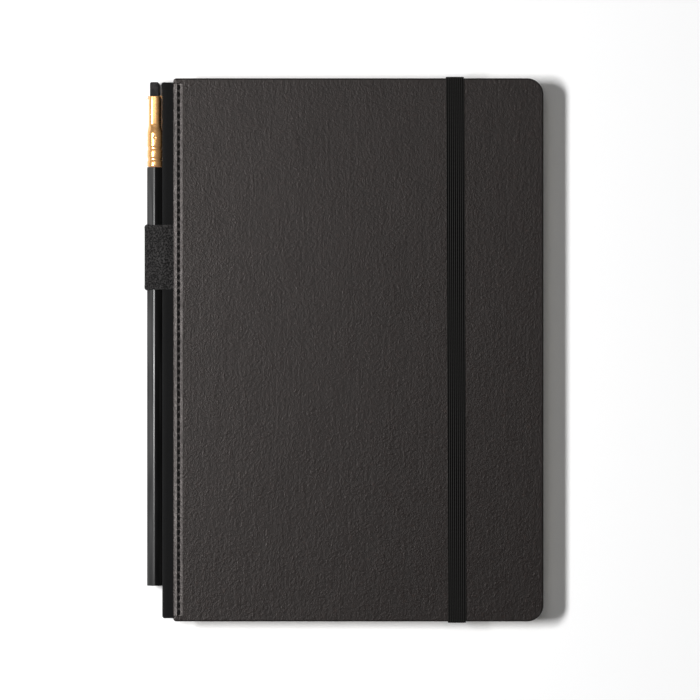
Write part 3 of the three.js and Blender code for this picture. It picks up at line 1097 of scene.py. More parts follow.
@dataclass
class Cover:
    """One cover: wrap, board, the sheet inside it and its row of stitches."""

    face: Face
    sizes: CoverSizes = field(default_factory=CoverSizes)

    @property
    def body(self) -> Body:
        """The body that the cover rides on."""
        return Body.COVER if self.face is Face.FRONT else Body.BOOK

    def name(self, part: str) -> str:
        """The piece's name on this cover."""
        return f"{self.face.value}_{part}"

    def settle(self, bm: BMesh) -> None:
        """Turns a mesh drawn for the front over, if this is the back cover."""
        if self.face is Face.BACK:
            turn_over(bm)

    def outline(self, bm: BMesh, grow: float, x0: float, z: tuple[float, float]) -> None:
        """A slab with the cover's corners.

        Args:
            bm: an empty mesh.
            grow: how far it reaches past the cover's head, tail and fore edge.
            x0: its spine side.
            z: its lower and upper face.
        """
        s = self.sizes
        block(bm, (x0, -s.half_h - grow, z[0]), (s.x1 + grow, s.half_h + grow, z[1]))
        fore = edges_where(bm, lambda e: upright(e) and middle(e).x > 0)
        round_edges(bm, fore, s.fore_r + grow, 14)
        back = edges_where(bm, lambda e: upright(e) and middle(e).x < x0 + 0.1)
        round_edges(bm, back, s.spine_r + grow, 5)

    def wrap(self) -> None:
        """The leatherette, turned in over the board's edges, with a groove for the stitches."""
        s = self.sizes
        piece = Piece(self.name("wrap"), [LEATHERETTE], wall=-s.skin)
        bm = piece.bm
        self.outline(bm, 0.0, s.x0, (s.z0, s.z1))
        round_edges(bm, rim_of(bm, 1.0), s.rim_r, 5)
        round_edges(bm, rim_of(bm, -1.0), s.rim_r, 3)
        self.shape_lip(bm)
        self.sink_groove(bm)
        self.open_slots(bm)
        self.open_inside(bm)
        self.settle(bm)
        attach(piece.close(self.name("cover_wrap")), self.body.value)

    def shape_lip(self, bm: BMesh) -> None:
        """Broadens the rounding along the spine side, where the edge is pressed down.

        Args:
            bm: the wrap's mesh.
        """
        s = self.sizes
        fade = (s.half_h - s.spine_r - 1.4, s.half_h - s.spine_r - 0.2)
        for y in evenly(*fade, 4):
            for side in (y, -y):
                cut(bm, (0, side, 0), (0, 1, 0))
        for v in bm.verts:
            near = 1.0 - smooth_step(v.co.x, s.x0 + s.rim_r, s.x0 + s.spine_r + 0.3)
            near *= 1.0 - smooth_step(abs(v.co.y), *fade)
            if v.co.z <= s.z1 - s.rim_r - 1e-4:
                continue
            share = min(1.0, max(0.0, (v.co.x - s.x0) / s.rim_r))
            turn = math.acos(1 - share) / (math.pi / 2)
            drop = s.lip_drop * max(1 - 1.5 * turn, 0.9 * (1 - turn))
            v.co.z += near * (s.z1 - drop - v.co.z)
            v.co.x += near * (s.lip_w * turn - s.rim_r * share)

    def sink_groove(self, bm: BMesh) -> None:
        """Presses the groove into the top face, steep at the spine side and sloping at the other.

        Args:
            bm: the wrap's mesh.
        """
        s = self.sizes
        for x in s.groove:
            cut(bm, (x, 0, 0), (1, 0, 0))
        for y in (-s.groove_end, s.groove_end):
            cut(bm, (0, y, 0), (0, 1, 0))
            cut(bm, (0, y - math.copysign(s.groove_ramp, y), 0), (0, 1, 0))
        for v in bm.verts:
            inside = s.groove[1] - NEAR < v.co.x < s.groove[2] + NEAR
            inside = inside and abs(v.co.y) < s.groove_end - 0.75 * s.groove_ramp
            if inside and v.co.z > s.z1 - NEAR:
                v.co.z -= s.groove_depth

        def on_rim(edge: BMEdge) -> bool:
            """Whether an edge is a sharp one at the groove's mouth.

            Args:
                edge: the edge.

            Returns:
                True if it is.
            """
            mid = middle(edge)
            if abs(mid.z - s.z1) > NEAR or not s.groove[0] - 0.1 < mid.x < s.groove[3] - 0.1:
                return False
            return len(edge.link_faces) == 2 and edge.calc_face_angle(0.0) > 0.3

        round_edges(bm, edges_where(bm, on_rim), s.groove_rim_r, 3)

    def open_inside(self, bm: BMesh) -> None:
        """Removes the underside between the turned-in edges.

        Args:
            bm: the wrap's mesh.
        """
        s = self.sizes
        x0, x1, y = s.turn_x0, s.x1 - s.turn_in, s.half_h - s.turn_in
        planes = [((x, 0, 0), (1, 0, 0)) for x in (x0, x1)]
        planes += [((0, at, 0), (0, 1, 0)) for at in (y, -y)]
        for point, normal in planes:
            low = [f for f in bm.faces if f.calc_center_median().z < s.z0 + 0.01]
            geom = list(dict.fromkeys(g for f in low for g in (*f.verts, *f.edges, f)))
            bmesh.ops.bisect_plane(bm, geom=geom, dist=CUT_DIST, plane_co=point, plane_no=normal)

        def inside(face: BMFace) -> bool:
            """Whether a face lies between the turned-in edges."""
            c = face.calc_center_median()
            return c.z < s.z0 + 0.01 and x0 < c.x < x1 and abs(c.y) < y

        bmesh.ops.delete(bm, geom=faces_where(bm, inside), context="FACES")

    def open_slots(self, bm: BMesh) -> None:
        """Opens the slot in the spine edge where the cloth runs in.

        Args:
            bm: the wrap's mesh.
        """
        s = self.sizes
        for z in s.slot:
            cut(bm, (0, 0, z), (0, 0, 1))

        def inside(face: BMFace) -> bool:
            """Whether a face closes the slot."""
            c = face.calc_center_median()
            return face.normal.x < -0.9 and c.x < s.x0 + 0.1 and s.slot[0] < c.z < s.slot[1]

        bmesh.ops.delete(bm, geom=faces_where(bm, inside), context="FACES")

    def board(self) -> None:
        """The board inside the wrap."""
        s = self.sizes
        piece = Piece(self.name("board"), [BOARD])
        edge, skin = s.skin + s.board_gap[0], s.skin + s.board_gap[1]
        self.outline(piece.bm, -edge, s.groove[3], (s.z0 + skin, s.z1 - skin))
        self.settle(piece.bm)
        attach(piece.close(self.name("cover_board")), self.body.value)

    def stitches(self) -> None:
        """The row of stitches lying in the groove."""
        s = self.sizes
        piece = Piece(self.name("stitches"), [THREAD], sharp=80)
        bm = piece.bm
        rng = random.Random(7)
        x = (s.groove[1] + s.groove[2]) / 2
        z = s.z1 - s.groove_depth + s.stitch_lift
        wide, long, high = s.stitch
        stand = Matrix.Rotation(math.pi / 2, 4, "X")
        reach = s.stitch_count * s.stitch_pitch / 2
        for k in range(s.stitch_count):
            y = -reach + (k + 0.5) * s.stitch_pitch + rng.uniform(-0.08, 0.08)
            tilt = Matrix.Rotation(rng.uniform(-0.05, 0.05), 4, "Z")
            shape = Matrix.Diagonal((wide, long + rng.uniform(-0.05, 0.05), high, 1.0))
            at = Matrix.Translation((x, y, z)) @ tilt @ shape @ stand
            made = bmesh.ops.create_uvsphere(bm, u_segments=8, v_segments=6, radius=1.0, matrix=at)
            for v in made["verts"]:
                far = (v.co.y - y) / STITCH_BLUNT
                v.co.y = y + math.copysign(abs(far) ** 0.75, far) * STITCH_BLUNT
        self.settle(bm)
        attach(piece.close(self.name("seam_thread")), self.body.value)

    def pastedown(self) -> None:
        """The sheet glued inside the cover, which crosses the joint to the text block."""
        s = self.sizes
        piece = Piece(self.name("pastedown_sheet"), [ENDPAPER])
        cuts = evenly(s.paste_x[0] + 0.1, PANEL_X0 + 0.2, 8)
        sheet_block(piece.bm, s.paste_x, s.paste_half_h, s.paste_z, s.paste_corner, cuts)
        self.settle(piece.bm)
        obj = piece.close(self.name("pastedown"))
        if self.face is Face.FRONT:
            bend_between(obj)
        else:
            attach(obj, Body.BOOK.value)

    def build(self) -> None:
        """Builds the whole cover."""
        self.wrap()
        self.board()
        self.stitches()
        self.pastedown()


def sheet_block(
    bm: BMesh,
    x: tuple[float, float],
    half_h: float,
    z: tuple[float, float],
    corner: float,
    x_cuts: Sequence[float],
) -> None:
    """A slab of paper with rounded fore corners, cut across so that it can bend.

    Args:
        bm: an empty mesh.
        x: its spine side and its fore edge.
        half_h: half its height.
        z: its lower and upper face.
        corner: the fore corners' radius.
        x_cuts: where it is cut across.
    """
    block(bm, (x[0], -half_h, z[0]), (x[1], half_h, z[1]))
    round_edges(bm, edges_where(bm, lambda e: upright(e) and middle(e).x > 0), corner, 10)
    for at in x_cuts:
        cut(bm, (at, 0, 0), (1, 0, 0))


# ------------------------------------------------------------------ text block


@dataclass(frozen=True)
class PageSizes:
    """Sizes of the text block."""

    x0: float = -77.0
    x1: float = 71.0
    half_h: float = 105.0
    corner: float = 5.0
    z0: float = 2.44
    z1: float = 12.56
    gap: float = 0.03
    count: int = 10
    fold_r: float = 0.42
    arches: tuple[float, float] = (7.0, 13.0)
    fly_t: float = 0.12
    fly_gap: float = 0.04
    fly_bend_x: float = -16.0
    band_r: float = 0.62


@dataclass(frozen=True)
class Lining:
    """A flat strip glued behind the folds, stopping short of both covers by its inset."""

    node: str
    finish: Finish
    x: tuple[float, float]
    half_h: float
    inset: float


LININGS = (
    Lining("spine_mull", LINEN, (-77.53, -77.31), 99.0, 0.5),
    Lining("spine_liner", BOARD, (-77.79, -77.58), 104.0, 0.9),
)


@dataclass
class TextBlock:
    """The gatherings, the two flyleaves and the rolled cords at the ends of the spine."""

    sizes: PageSizes = field(default_factory=PageSizes)

    def signature(self, index: int) -> None:
        """One folded gathering. The first two are cut across near the spine and are not attached to a body.

        Args:
            index: its number, counted from the front.
        """
        s = self.sizes
        pitch = (s.z1 - s.z0 + s.gap) / s.count
        top = s.z1 - index * pitch
        low = top - pitch + s.gap
        name = f"signature_{index + 1:02d}"
        piece = Piece(f"{name}_leaves", [PAPER], sharp=50)
        bm = piece.bm
        sheet_block(bm, (s.x0, s.x1), s.half_h, (low, top), s.corner, [])
        fold = edges_where(bm, lambda e: middle(e).x < s.x0 + 0.01 and not upright(e))
        round_edges(bm, fold, s.fold_r, 5)
        if index >= len(s.arches):
            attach(piece.close(name), Body.BOOK.value)
            return
        end = s.x0 + s.arches[index]
        for x in evenly(s.x0 + 0.6, end, 18):
            cut(bm, (x, 0, 0), (1, 0, 0))
        bend_between(piece.close(name))

    def flyleaf(self, face: Face) -> None:
        """The free leaf next to a cover, cut across near the spine. The front one is not attached to a
        body.

        Args:
            face: the cover.
        """
        s = self.sizes
        low = s.z1 + s.fly_gap
        piece = Piece(f"{face.value}_flyleaf_sheet", [ENDPAPER])
        cuts = evenly(s.x0 + 0.5, s.fly_bend_x, 40)
        sheet_block(piece.bm, (s.x0, s.x1), s.half_h, (low, low + s.fly_t), s.corner, cuts)
        if face is Face.BACK:
            turn_over(piece.bm)
            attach(piece.close("back_flyleaf"), Body.BOOK.value)
            return
        obj = piece.close("front_flyleaf")
        bend_between(obj)

    def end_band(self, end: End) -> None:
        """The rolled cord at the head or tail of the spine.

        Args:
            end: which of the two.
        """
        s = self.sizes
        node = "headband" if end is End.HEAD else "tailband"
        piece = Piece(f"{node}_cord", [LINEN], sharp=80)
        stretch = (s.z1 - s.z0 - 0.2) / 2 - s.band_r
        at = Matrix.Translation((s.x0 + s.band_r, end.value * (s.half_h + s.band_r + 0.03), MID_Z))
        bmesh.ops.create_uvsphere(piece.bm, u_segments=14, v_segments=14, radius=s.band_r, matrix=at)
        for v in piece.bm.verts:
            if abs(v.co.z - MID_Z) > 1e-4:
                v.co.z += math.copysign(stretch, v.co.z - MID_Z)
        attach(piece.close(node), Body.BOOK.value)

    def lining(self, strip_sizes: Lining) -> None:
        """A flat strip glued behind the folds.

        Args:
            strip_sizes: its sizes.
        """
        s, t = self.sizes, strip_sizes
        piece = Piece(f"{t.node}_strip", [t.finish])
        block(piece.bm, (t.x[0], -t.half_h, s.z0 + t.inset), (t.x[1], t.half_h, s.z1 - t.inset))
        round_edges(piece.bm, piece.bm.edges, 0.05, 1)
        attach(piece.close(t.node), Body.BOOK.value)

    def build(self) -> None:
        """Builds the whole text block."""
        for strip_sizes in LININGS:
            self.lining(strip_sizes)
        for index in range(self.sizes.count):
            self.signature(index)
        for face in Face:
            self.flyleaf(face)
        for end in End:
            self.end_band(end)


# ------------------------------------------------------------------ spine cloth and loop


@dataclass(frozen=True)
class StripRun:
    """A strip round the spine side: its line, its width and how its cut ends spread.

    A step is the longest distance between rows of points, and a spread is how far the tail and
    the head end stand out over the length of spread_run.
    """

    name: str
    finish: Finish
    path: list[Point2]
    y: tuple[float, float]
    wall: float
    step: float
    corner: float
    spread: tuple[float, float]
    spread_run: float


@dataclass
class SpineStrip:
    """A strip that wraps the spine side. Two short parts of it at the front joint are made as separate
    pieces and not attached to a body.

    The one that goes from the book to the leaves starts at near.
    """

    run: StripRun
    near: float

    def rows(self) -> list[float]:
        """Where the rows of points lie along Y, close together at both ends.

        Returns:
            Their places.
        """
        low, high = self.run.y
        inner = self.run.spread_run
        ends = (0.0, 0.08, 0.25, 0.5, 0.85, 1.3, 1.9)
        steps = max(4, round((high - low - 2 * inner) / self.run.step))
        body = evenly(low + inner, high - inner, steps)
        return [low + e for e in ends] + body + [high - e for e in reversed(ends)]

    def shape_ends(self, bm: BMesh) -> None:
        """Rounds the strip's outer corners and lets its cut ends spread a little.

        Args:
            bm: the strip's mesh.
        """
        low, high = self.run.y
        outer = min(x for x, _ in self.run.path)
        r = self.run.corner
        for v in bm.verts:
            side = smooth_step(-v.co.x, -outer - 1.6, -outer)
            inside = min(v.co.y - low, high - v.co.y)
            flare = 1.0 - smooth_step(inside, 0.0, self.run.spread_run)
            v.co.x -= self.run.spread[v.co.y > 0] * flare * side
            if inside < r:
                drop = r - math.sqrt(max(0.0, r * r - (r - inside) ** 2))
                v.co.x += side * drop * 0.9

    def height(self, x: float) -> float:
        """How high the strip's upper side is.

        Args:
            x: where.

        Returns:
            Its Z.
        """
        pairs = zip(self.run.path, self.run.path[1:])
        a, b = next(pair for pair in pairs if pair[1][0] <= x)
        return a[1] + (b[1] - a[1]) * (x - a[0]) / (b[0] - a[0])

    def part(self, suffix: str, path: Sequence[Point2]) -> Object:
        """One length of the strip.

        Args:
            suffix: what to add to the piece's name.
            path: its part of the line.

        Returns:
            The finished piece.
        """
        run = self.run
        piece = Piece(f"{run.name}_{suffix}", [run.finish], sharp=60, wall=run.wall)
        strip(piece.bm, path, self.rows(), run.path[0][0] - path[0][0])
        self.shape_ends(piece.bm)
        return piece.close(run.name)

    def build(self) -> Object:
        """Builds the strip's three lengths.

        Returns:
            The main length, which stays with the book.
        """
        path = self.run.path
        turn = next(i for i, p in enumerate(path) if p[0] < self.near - 0.02)
        main = self.part("main", [(self.near, self.height(self.near)), *path[turn:]])
        inner = self.part("joint_pages", [(x, self.height(x)) for x in evenly(FOLD_X, self.near, 8)])
        across = [(x, self.height(x)) for x in evenly(PANEL_X0, FOLD_X, 16)]
        outer = self.part("joint_cover", [path[0], *across])
        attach(main, Body.BOOK.value)
        bend_between(inner)
        bend_between(outer)
        return main


def cloth_run() -> StripRun:
    """The spine cloth's line and sizes.

    Returns:
        The sizes.
    """
    back_x, end_x, top, corner_r = -77.97, -70.75, 13.6, 1.8
    upper = [(end_x, top, 0), (back_x, top, corner_r)]
    lower = [(x, BOOK_T - z, r) for x, z, r in reversed(upper)]
    return StripRun(
        name="spine_cloth",
        finish=CLOTH,
        path=thinned(rounded_path([*upper, *lower]), 3.0),
        y=(-106.75, 106.4),
        wall=0.3,
        step=6.0,
        corner=0.9,
        spread=(0.0, 0.5),
        spread_run=3.4,
    )


def loop_run() -> StripRun:
    """The pencil loop's line and sizes. It runs at a gap round the six-sided casing.

    Returns:
        The sizes.
    """
    wall, top, end_x, gap = 0.7, 14.2, -72.4, 0.3
    off = gap + wall / 2
    left = PENCIL_X - PENCIL_FLATS / 2 - off
    rise = PENCIL_FLATS / math.sqrt(3) + off / math.cos(math.pi / 6)
    slope = math.tan(math.pi / 6)
    bend_x = PENCIL_X + (top - MID_Z - rise) / slope
    shoulder = MID_Z + rise + (left - PENCIL_X) * slope
    upper = [(end_x, top, 0), (bend_x, top, 1.6), (left, shoulder, 1.4)]
    lower = [(x, BOOK_T - z, r) for x, z, r in reversed(upper)]
    return StripRun(
        name="pencil_loop",
        finish=CREPE,
        path=thinned(rounded_path([*upper, *lower]), 1.0),
        y=(24.05, 49.75),
        wall=wall,
        step=1.0,
        corner=1.0,
        spread=(0.12, 0.12),
        spread_run=2.2,
    )


# ------------------------------------------------------------------ closure


@dataclass(frozen=True)
class ClosureSizes:
    """Sizes of the elastic closure. Its gaps are over the front cover and past the book's ends."""

    x: float = 38.8
    width: float = BAND_W
    wall: float = 0.6
    lean: float = 0.0038
    foot_z: float = 1.4
    leg_z: float = 14.2
    bend_r: float = 0.9
    gap: tuple[float, float] = (0.03, 0.05)
    ribs: int = BAND_RIBS
    rib_rise: float = 0.1
    tuck: float = 16.0


@dataclass
class Closure:
    """The elastic that holds the covers shut, in a run over the cover and two legs."""

    sizes: ClosureSizes = field(default_factory=ClosureSizes)

    def ribbed(self, name: str, path: Sequence[Point2]) -> Object:
        """A length of the elastic, with raised ribs on its faces.

        Args:
            name: the piece's name.
            path: its line in the YZ plane.

        Returns:
            The finished piece.
        """
        s = self.sizes
        piece = Piece(name, [ELASTIC], sharp=60, wall=s.wall - 2 * s.rib_rise)
        bm = piece.bm
        strip(bm, path, evenly(-s.width / 2, s.width / 2, 6 * s.ribs))
        swap_xy = Matrix(((0, 1, 0, 0), (1, 0, 0, 0), (0, 0, 1, 0), (0, 0, 0, 1)))
        bmesh.ops.transform(bm, matrix=swap_xy, verts=bm.verts)
        obj = piece.close("closure_band")
        for v in obj.data.vertices:
            across = v.co.x / MM
            if abs(across) < s.width / 2 - 0.01:
                wave = 0.5 - 0.5 * math.cos(2 * math.pi * (across / s.width + 0.5) * s.ribs)
                v.co += v.normal * s.rib_rise * MM * (2.0 * math.sqrt(wave) - 1.0)
            v.co.x += (s.x - s.lean * v.co.y / MM) * MM
        obj.data.update()
        return obj

    def build(self) -> None:
        """Builds the run, the legs and the glued ends."""
        s = self.sizes
        top = BOOK_T + s.gap[0] + s.wall / 2
        side = PANEL_H / 2 + s.gap[1] + s.wall / 2
        head = [(side, s.leg_z, 0), (side, top, s.bend_r)]
        tail = [(-y, z, r) for y, z, r in reversed(head)]
        run = self.ribbed("closure_run", thinned(rounded_path([*head, *tail]), 4.0))
        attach(run, Body.CLOSURE.value)
        for end in End:
            y = end.value * side
            leg = [(y, z) for z in evenly(s.leg_z, s.foot_z, 14)]
            obj = self.ribbed(f"closure_leg_{end.name.lower()}", leg)
            bend_between(obj)
            self.glued_end(end)

    def glued_end(self, end: End) -> None:
        """The end that is glued into the back cover.

        Args:
            end: which of the two.
        """
        s = self.sizes
        x = s.x - end.value * s.lean * PANEL_H / 2
        low, high = sorted((end.value * (PANEL_H / 2 - s.tuck), end.value * PANEL_H / 2))
        piece = Piece(f"closure_tuck_{end.name.lower()}", [ELASTIC])
        block(piece.bm, (x - s.width / 2, low, s.foot_z), (x + s.width / 2, high, s.foot_z + s.wall))
        round_edges(piece.bm, piece.bm.edges, 0.08, 1)
        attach(piece.close(f"closure_end_{end.name.lower()}"), Body.BOOK.value)


# ------------------------------------------------------------------ pencil


@dataclass(frozen=True)
class PencilSizes:
    """Sizes of the pencil, its ferrule and its eraser."""

    x: float = PENCIL_X
    flats: float = PENCIL_FLATS
    y0: float = -94.1
    shoulder: float = 72.9
    tenon_r: float = 2.5
    tenon_y: float = 84.4
    lead_r: float = 1.1
    edge_r: float = 0.45
    sawn_r: float = 0.18
    ferrule: tuple[float, float] = (73.2, 101.05)
    round_r: float = 3.0
    spin_r: float = 10.0
    wall: float = 0.26
    flat_x: float = 2.45
    flat_z: float = 5.0
    squareness: float = 1.4
    flare: tuple[float, float] = (86.2, 90.2)
    rings: tuple[float, float] = (76.0, 80.4)
    ring_depth: float = 0.26
    dimple_y: float = 84.6
    dimple_r: float = 0.9
    dimple_depth: float = 0.22
    eraser: tuple[float, float, float] = (3.6, 16.4, 8.4)
    eraser_y1: float = 106.7
    eraser_pinch: float = 0.84
    clip_wall: float = 0.12
    clip_half_w: float = 1.7


@dataclass
class Pencil:
    """The pencil with its brass ferrule, flat eraser and clip."""

    sizes: PencilSizes = field(default_factory=PencilSizes)

    def rod(self, bm: BMesh, sides: int, radius: float, y0: float, y1: float) -> None:
        """Adds a straight rod on the pencil's axis.

        Args:
            bm: the mesh.
            sides: the number of its sides.
            radius: its corners' distance from the axis.
            y0: its tail end.
            y1: its head end.
        """
        at = Matrix.Translation((self.sizes.x, (y0 + y1) / 2, MID_Z)) @ Matrix.Rotation(math.pi / 2, 4, "X")
        size = {"radius1": radius, "radius2": radius, "depth": y1 - y0}
        bmesh.ops.create_cone(bm, cap_ends=True, segments=sides, matrix=at, **size)

    def casing(self) -> None:
        """The six-sided lacquered casing, its sawn end and the tenon inside the ferrule."""
        s = self.sizes
        piece = Piece("pencil_body", [LACQUER, CEDAR], sharp=50)
        bm = piece.bm
        self.rod(bm, 6, s.flats / math.sqrt(3), s.y0, s.shoulder)
        long = edges_where(bm, lambda e: abs(e.verts[0].co.y - e.verts[1].co.y) > 1)
        round_edges(bm, long, s.edge_r, 4)
        ends = edges_where(bm, lambda e: abs(middle(e).y - e.verts[0].co.y) < 1e-4)
        round_edges(bm, ends, s.sawn_r, 3)
        caps = faces_where(bm, lambda f: abs(f.normal.y) > 0.99)
        for cap in caps:
            cap.material_index = 1
        top = [f for f in caps if f.normal.y > 0]
        rim = s.flats / 2 - s.tenon_r - 0.1
        bmesh.ops.inset_region(bm, faces=top, thickness=rim, use_even_offset=True)
        grown = bmesh.ops.extrude_face_region(bm, geom=top)
        verts = [g for g in grown["geom"] if isinstance(g, BMVert)]
        bmesh.ops.delete(bm, geom=top, context="FACES")
        bmesh.ops.translate(bm, verts=verts, vec=(0, s.tenon_y - s.shoulder, 0))
        for v in verts:
            away = Vector((v.co.x - s.x, 0, v.co.z - MID_Z))
            v.co -= away * (1 - s.tenon_r / away.length)
        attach(piece.close("pencil_casing"), Body.PENCIL.value)

    def lead(self) -> None:
        """The core, level with the sawn end."""
        s = self.sizes
        piece = Piece("pencil_core", [GRAPHITE])
        self.rod(piece.bm, 28, s.lead_r, s.y0 - 0.02, s.tenon_y + 0.5)
        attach(piece.close("pencil_lead"), Body.PENCIL.value)

    def reach(self, angle: float, y: float, inward: float) -> float:
        """How far from the axis the ferrule's skin lies. It goes from a circle to a squarish oval.

        Args:
            angle: the direction round the axis.
            y: the place along it.
            inward: how far under the outer skin.

        Returns:
            The distance.
        """
        s = self.sizes
        flat = smooth_step(y, *s.flare)
        a = s.round_r + (s.flat_x - s.round_r) * flat - inward
        b = s.round_r + (s.flat_z - s.round_r) * flat - inward
        n = 2 + s.squareness * flat
        return (abs(math.cos(angle) / a) ** n + abs(math.sin(angle) / b) ** n) ** (-1 / n)

    def skin(self) -> list[Point2]:
        """The ferrule's outer line.

        Returns:
            (y, depth) for each point, with depths under its widest part.
        """
        s = self.sizes
        y0, y1 = s.ferrule
        line: list[Point2] = [(y0, 0.10), (y0 + 0.12, 0.02), (y0 + 0.35, 0.0)]
        for ring in s.rings:
            for t in evenly(-1.0, 1.0, 10):
                line.append((ring + t, s.ring_depth * (1 - smooth_step(abs(t), 0.25, 1.0))))
        plain = evenly(s.rings[1] + 2.0, s.flare[0] - 0.2, 14) + evenly(*s.flare, 16)
        plain += [94.0, 98.0, y1 - 0.25]
        return line + [(y, 0.0) for y in plain] + [(y1 - 0.08, 0.03), (y1, 0.1)]

    def ferrule(self) -> None:
        """The crimped tube that flattens towards the eraser, spun and then reshaped."""
        s = self.sizes
        line = self.skin()
        inner = [(y, dip + s.wall) for y, dip in reversed(line)]
        inner[0] = (s.ferrule[1], s.wall - 0.06)
        piece = Piece("ferrule_tube", [BRASS], sharp=70)
        bm = piece.bm
        verts = [bm.verts.new((s.x + s.spin_r - dip, y, MID_Z)) for y, dip in line + inner]
        edges = [bm.edges.new(pair) for pair in zip(verts, verts[1:] + verts[:1])]
        bmesh.ops.spin(
            bm,
            geom=[*verts, *edges],
            cent=(s.x, 0, MID_Z),
            axis=(0, 1, 0),
            angle=2 * math.pi,
            steps=96,
            use_merge=True,
        )
        bmesh.ops.remove_doubles(bm, verts=bm.verts, dist=1e-4)
        for v in bm.verts:
            dx, dz = v.co.x - s.x, v.co.z - MID_Z
            angle, inward = math.atan2(dz, dx), s.spin_r - math.hypot(dx, dz)
            for k in range(4):
                turn = (angle - k * math.pi / 2 + math.pi) % (2 * math.pi) - math.pi
                away = math.hypot(turn * s.round_r, v.co.y - s.dimple_y)
                inward += s.dimple_depth * (1 - smooth_step(away, 0.0, s.dimple_r))
            far = self.reach(angle, v.co.y, inward)
            v.co.x, v.co.z = s.x + far * math.cos(angle), MID_Z + far * math.sin(angle)
        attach(piece.close("pencil_ferrule"), Body.PENCIL.value)

    def eraser(self) -> None:
        """The flat eraser block, worn round at its corners."""
        s = self.sizes
        w, length, d = s.eraser
        piece = Piece("eraser_slab", [RUBBER], sharp=60)
        bm = piece.bm
        low = (s.x - w / 2, s.eraser_y1 - length, MID_Z - d / 2)
        block(bm, low, (s.x + w / 2, s.eraser_y1, MID_Z + d / 2))
        round_edges(bm, edges_where(bm, upright), 0.75, 6)
        for up in (1.0, -1.0):
            round_edges(bm, rim_of(bm, up), 0.4, 4)
        mouth = s.ferrule[1]
        for y in (mouth - 0.2, mouth - 1.2):
            cut(bm, (0, y, 0), (0, 1, 0))
        for v in bm.verts:
            if v.co.y < mouth - 1.1:
                v.co.x = s.x + (v.co.x - s.x) * s.eraser_pinch
                v.co.z = MID_Z + (v.co.z - MID_Z) * s.eraser_pinch
        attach(piece.close("eraser_block"), Body.ERASER.value)

    def clip(self) -> None:
        """The thin brass clip, whose ears fold over the ferrule's rim."""
        s = self.sizes
        piece = Piece("eraser_clip_strap", [BRASS], wall=s.clip_wall)
        bm = piece.bm
        rim = s.ferrule[1] + 0.16
        inside = s.eraser[0] / 2 + 0.09
        foot = s.eraser_y1 - s.eraser[1] - 0.09
        left_ear = [(-3.75, rim - 1.15, 0), (-2.72, rim - 1.0, 0.2), (-2.66, rim, 0.2)]
        seat = [(-inside, rim, 0.2), (-inside, foot, 0.2), (inside, foot, 0.2), (inside, rim, 0.2)]
        right_ear = [(2.66, rim, 0.2), (2.72, rim - 1.0, 0.2), (3.1, rim - 1.1, 0)]
        line = [(s.x + x, y, r) for x, y, r in left_ear + seat + right_ear]
        strip(bm, rounded_path(line, 3), evenly(-s.clip_half_w, s.clip_half_w, 4))
        lay = Matrix(((1, 0, 0, 0), (0, 0, 1, 0), (0, 1, 0, MID_Z), (0, 0, 0, 1)))
        bmesh.ops.transform(bm, matrix=lay, verts=bm.verts)
        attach(piece.close("eraser_clip"), Body.ERASER.value)

    def build(self) -> None:
        """Builds the whole pencil."""
        self.casing()
        self.lead()
        self.ferrule()
        self.eraser()
        self.clip()


# ------------------------------------------------------------------ studio


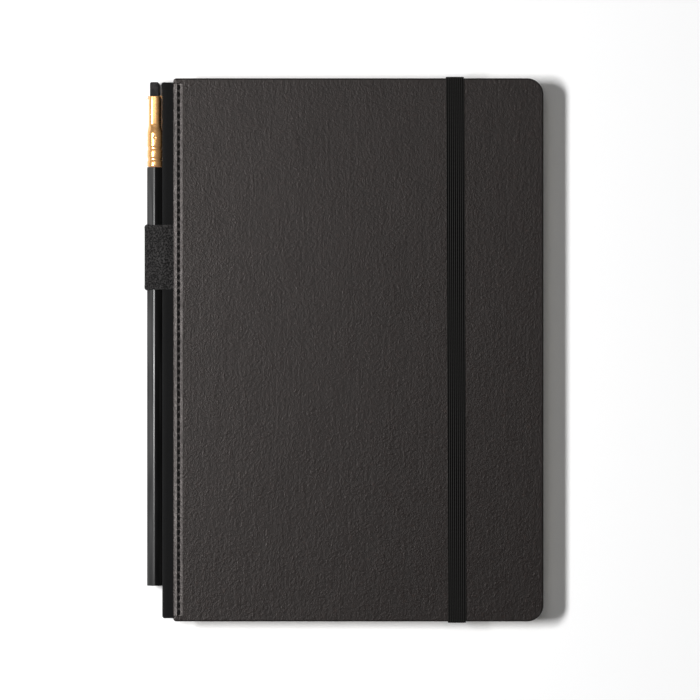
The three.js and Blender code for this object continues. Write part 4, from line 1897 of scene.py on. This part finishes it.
@dataclass(frozen=True)
class Studio:
    """The floor, the lights and the camera, in metres and watts."""

    floor_half: float = 6.0
    floor_z: float = -0.00005
    camera: tuple[float, float, float] = (-0.00334, -0.00006, 1.615)
    lens: float = 207.0
    key_at: tuple[float, float, float] = (-0.80, 0.06, 1.25)
    key_size: tuple[float, float] = (0.42, 0.17)
    key_power: float = 26.0
    fill_at: tuple[float, float, float] = (-0.12, 0.42, 1.5)
    fill_size: tuple[float, float] = (0.4, 0.4)
    fill_power: float = 1.5
    panel_at: tuple[float, float, float] = (-0.25, 0.18, 1.62)
    panel_size: tuple[float, float] = (0.35, 0.7)
    panel_glow: float = 0.95
    card_at: tuple[float, float, float] = (-0.08, -0.96, 0.77)
    card_size: tuple[float, float] = (0.4, 0.4)
    card_power: float = 0.3
    side_card_at: tuple[float, float, float] = (0.26, 0.2, 1.5)
    side_card_size: tuple[float, float] = (0.16, 0.45)
    side_card_power: float = 0.17
    sky: float = 0.105

    def floor(self) -> None:
        """A wide pale floor just under the book."""
        bm = bmesh.new()
        at = Matrix.Translation((0, 0, self.floor_z))
        bmesh.ops.create_grid(bm, x_segments=1, y_segments=1, size=self.floor_half, matrix=at)
        obj = new_object("studio_floor", bm, [FLOOR])

    def light(self, name: str, at: Sequence[float], size: Sequence[float], power: float) -> None:
        """A rectangular lamp that faces the book's middle.

        Args:
            name: its name.
            at: its place.
            size: its two sides.
            power: its power.
        """
        lamp = bpy.data.lights.new(name, "AREA")
        lamp.shape = "RECTANGLE"
        lamp.size, lamp.size_y = size
        lamp.energy = power
        obj = bpy.data.objects.new(name, lamp)
        obj.location = at
        obj.rotation_euler = (-Vector(at)).to_track_quat("-Z", "Y").to_euler()
        bpy.context.scene.collection.objects.link(obj)

    def sky_light(self) -> None:
        """An even white surround."""
        world = bpy.data.worlds.new("studio_surround")
        world.use_nodes = True
        back = world.node_tree.nodes["Background"]
        back.inputs["Color"].default_value = (1.0, 1.0, 1.0, 1.0)
        back.inputs["Strength"].default_value = self.sky
        bpy.context.scene.world = world

    def look(self) -> None:
        """The camera, straight above the book with its head at the top."""
        lens = bpy.data.cameras.new("studio_camera")
        lens.sensor_width = 36.0
        lens.lens = self.lens
        lens.dof.use_dof = False
        obj = bpy.data.objects.new("studio_camera", lens)
        obj.location = self.camera
        bpy.context.scene.collection.objects.link(obj)
        bpy.context.scene.camera = obj
        bpy.context.scene.view_settings.view_transform = "Standard"

    def build(self) -> None:
        """Sets up the whole studio."""
        self.floor()
        panel_power = self.panel_glow * math.pi * self.panel_size[0] * self.panel_size[1]
        self.light("key_light", self.key_at, self.key_size, self.key_power)
        self.light("fill_light", self.fill_at, self.fill_size, self.fill_power)
        self.light("panel_light", self.panel_at, self.panel_size, panel_power)
        self.light("card_light", self.card_at, self.card_size, self.card_power)
        self.light("side_card_light", self.side_card_at, self.side_card_size, self.side_card_power)
        self.sky_light()
        self.look()


CARRIED = {"binding_thread": LINEN}


def carry_over(nodes: dict[str, Object]) -> None:
    """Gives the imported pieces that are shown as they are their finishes.

    Args:
        nodes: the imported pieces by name.
    """
    for name, finish in CARRIED.items():
        mesh = nodes[name].data
        mesh.materials.clear()
        mesh.materials.append(finish.material())
        LOG.info("carried over %s as %s", name, finish.name)


def main() -> None:
    """Builds the notebook and its studio."""
    logging.basicConfig(level=logging.INFO, format="%(name)s %(message)s")
    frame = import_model()
    for face in Face:
        Cover(face).build()
    TextBlock().build()
    cloth = SpineStrip(cloth_run(), near=-77.0).build()
    loop = SpineStrip(loop_run(), near=-77.85).build()
    Closure().build()
    Pencil().build()
    carry_over(frame["nodes"])
    Studio().build()
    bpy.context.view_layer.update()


if __name__ == "__main__":
    main()
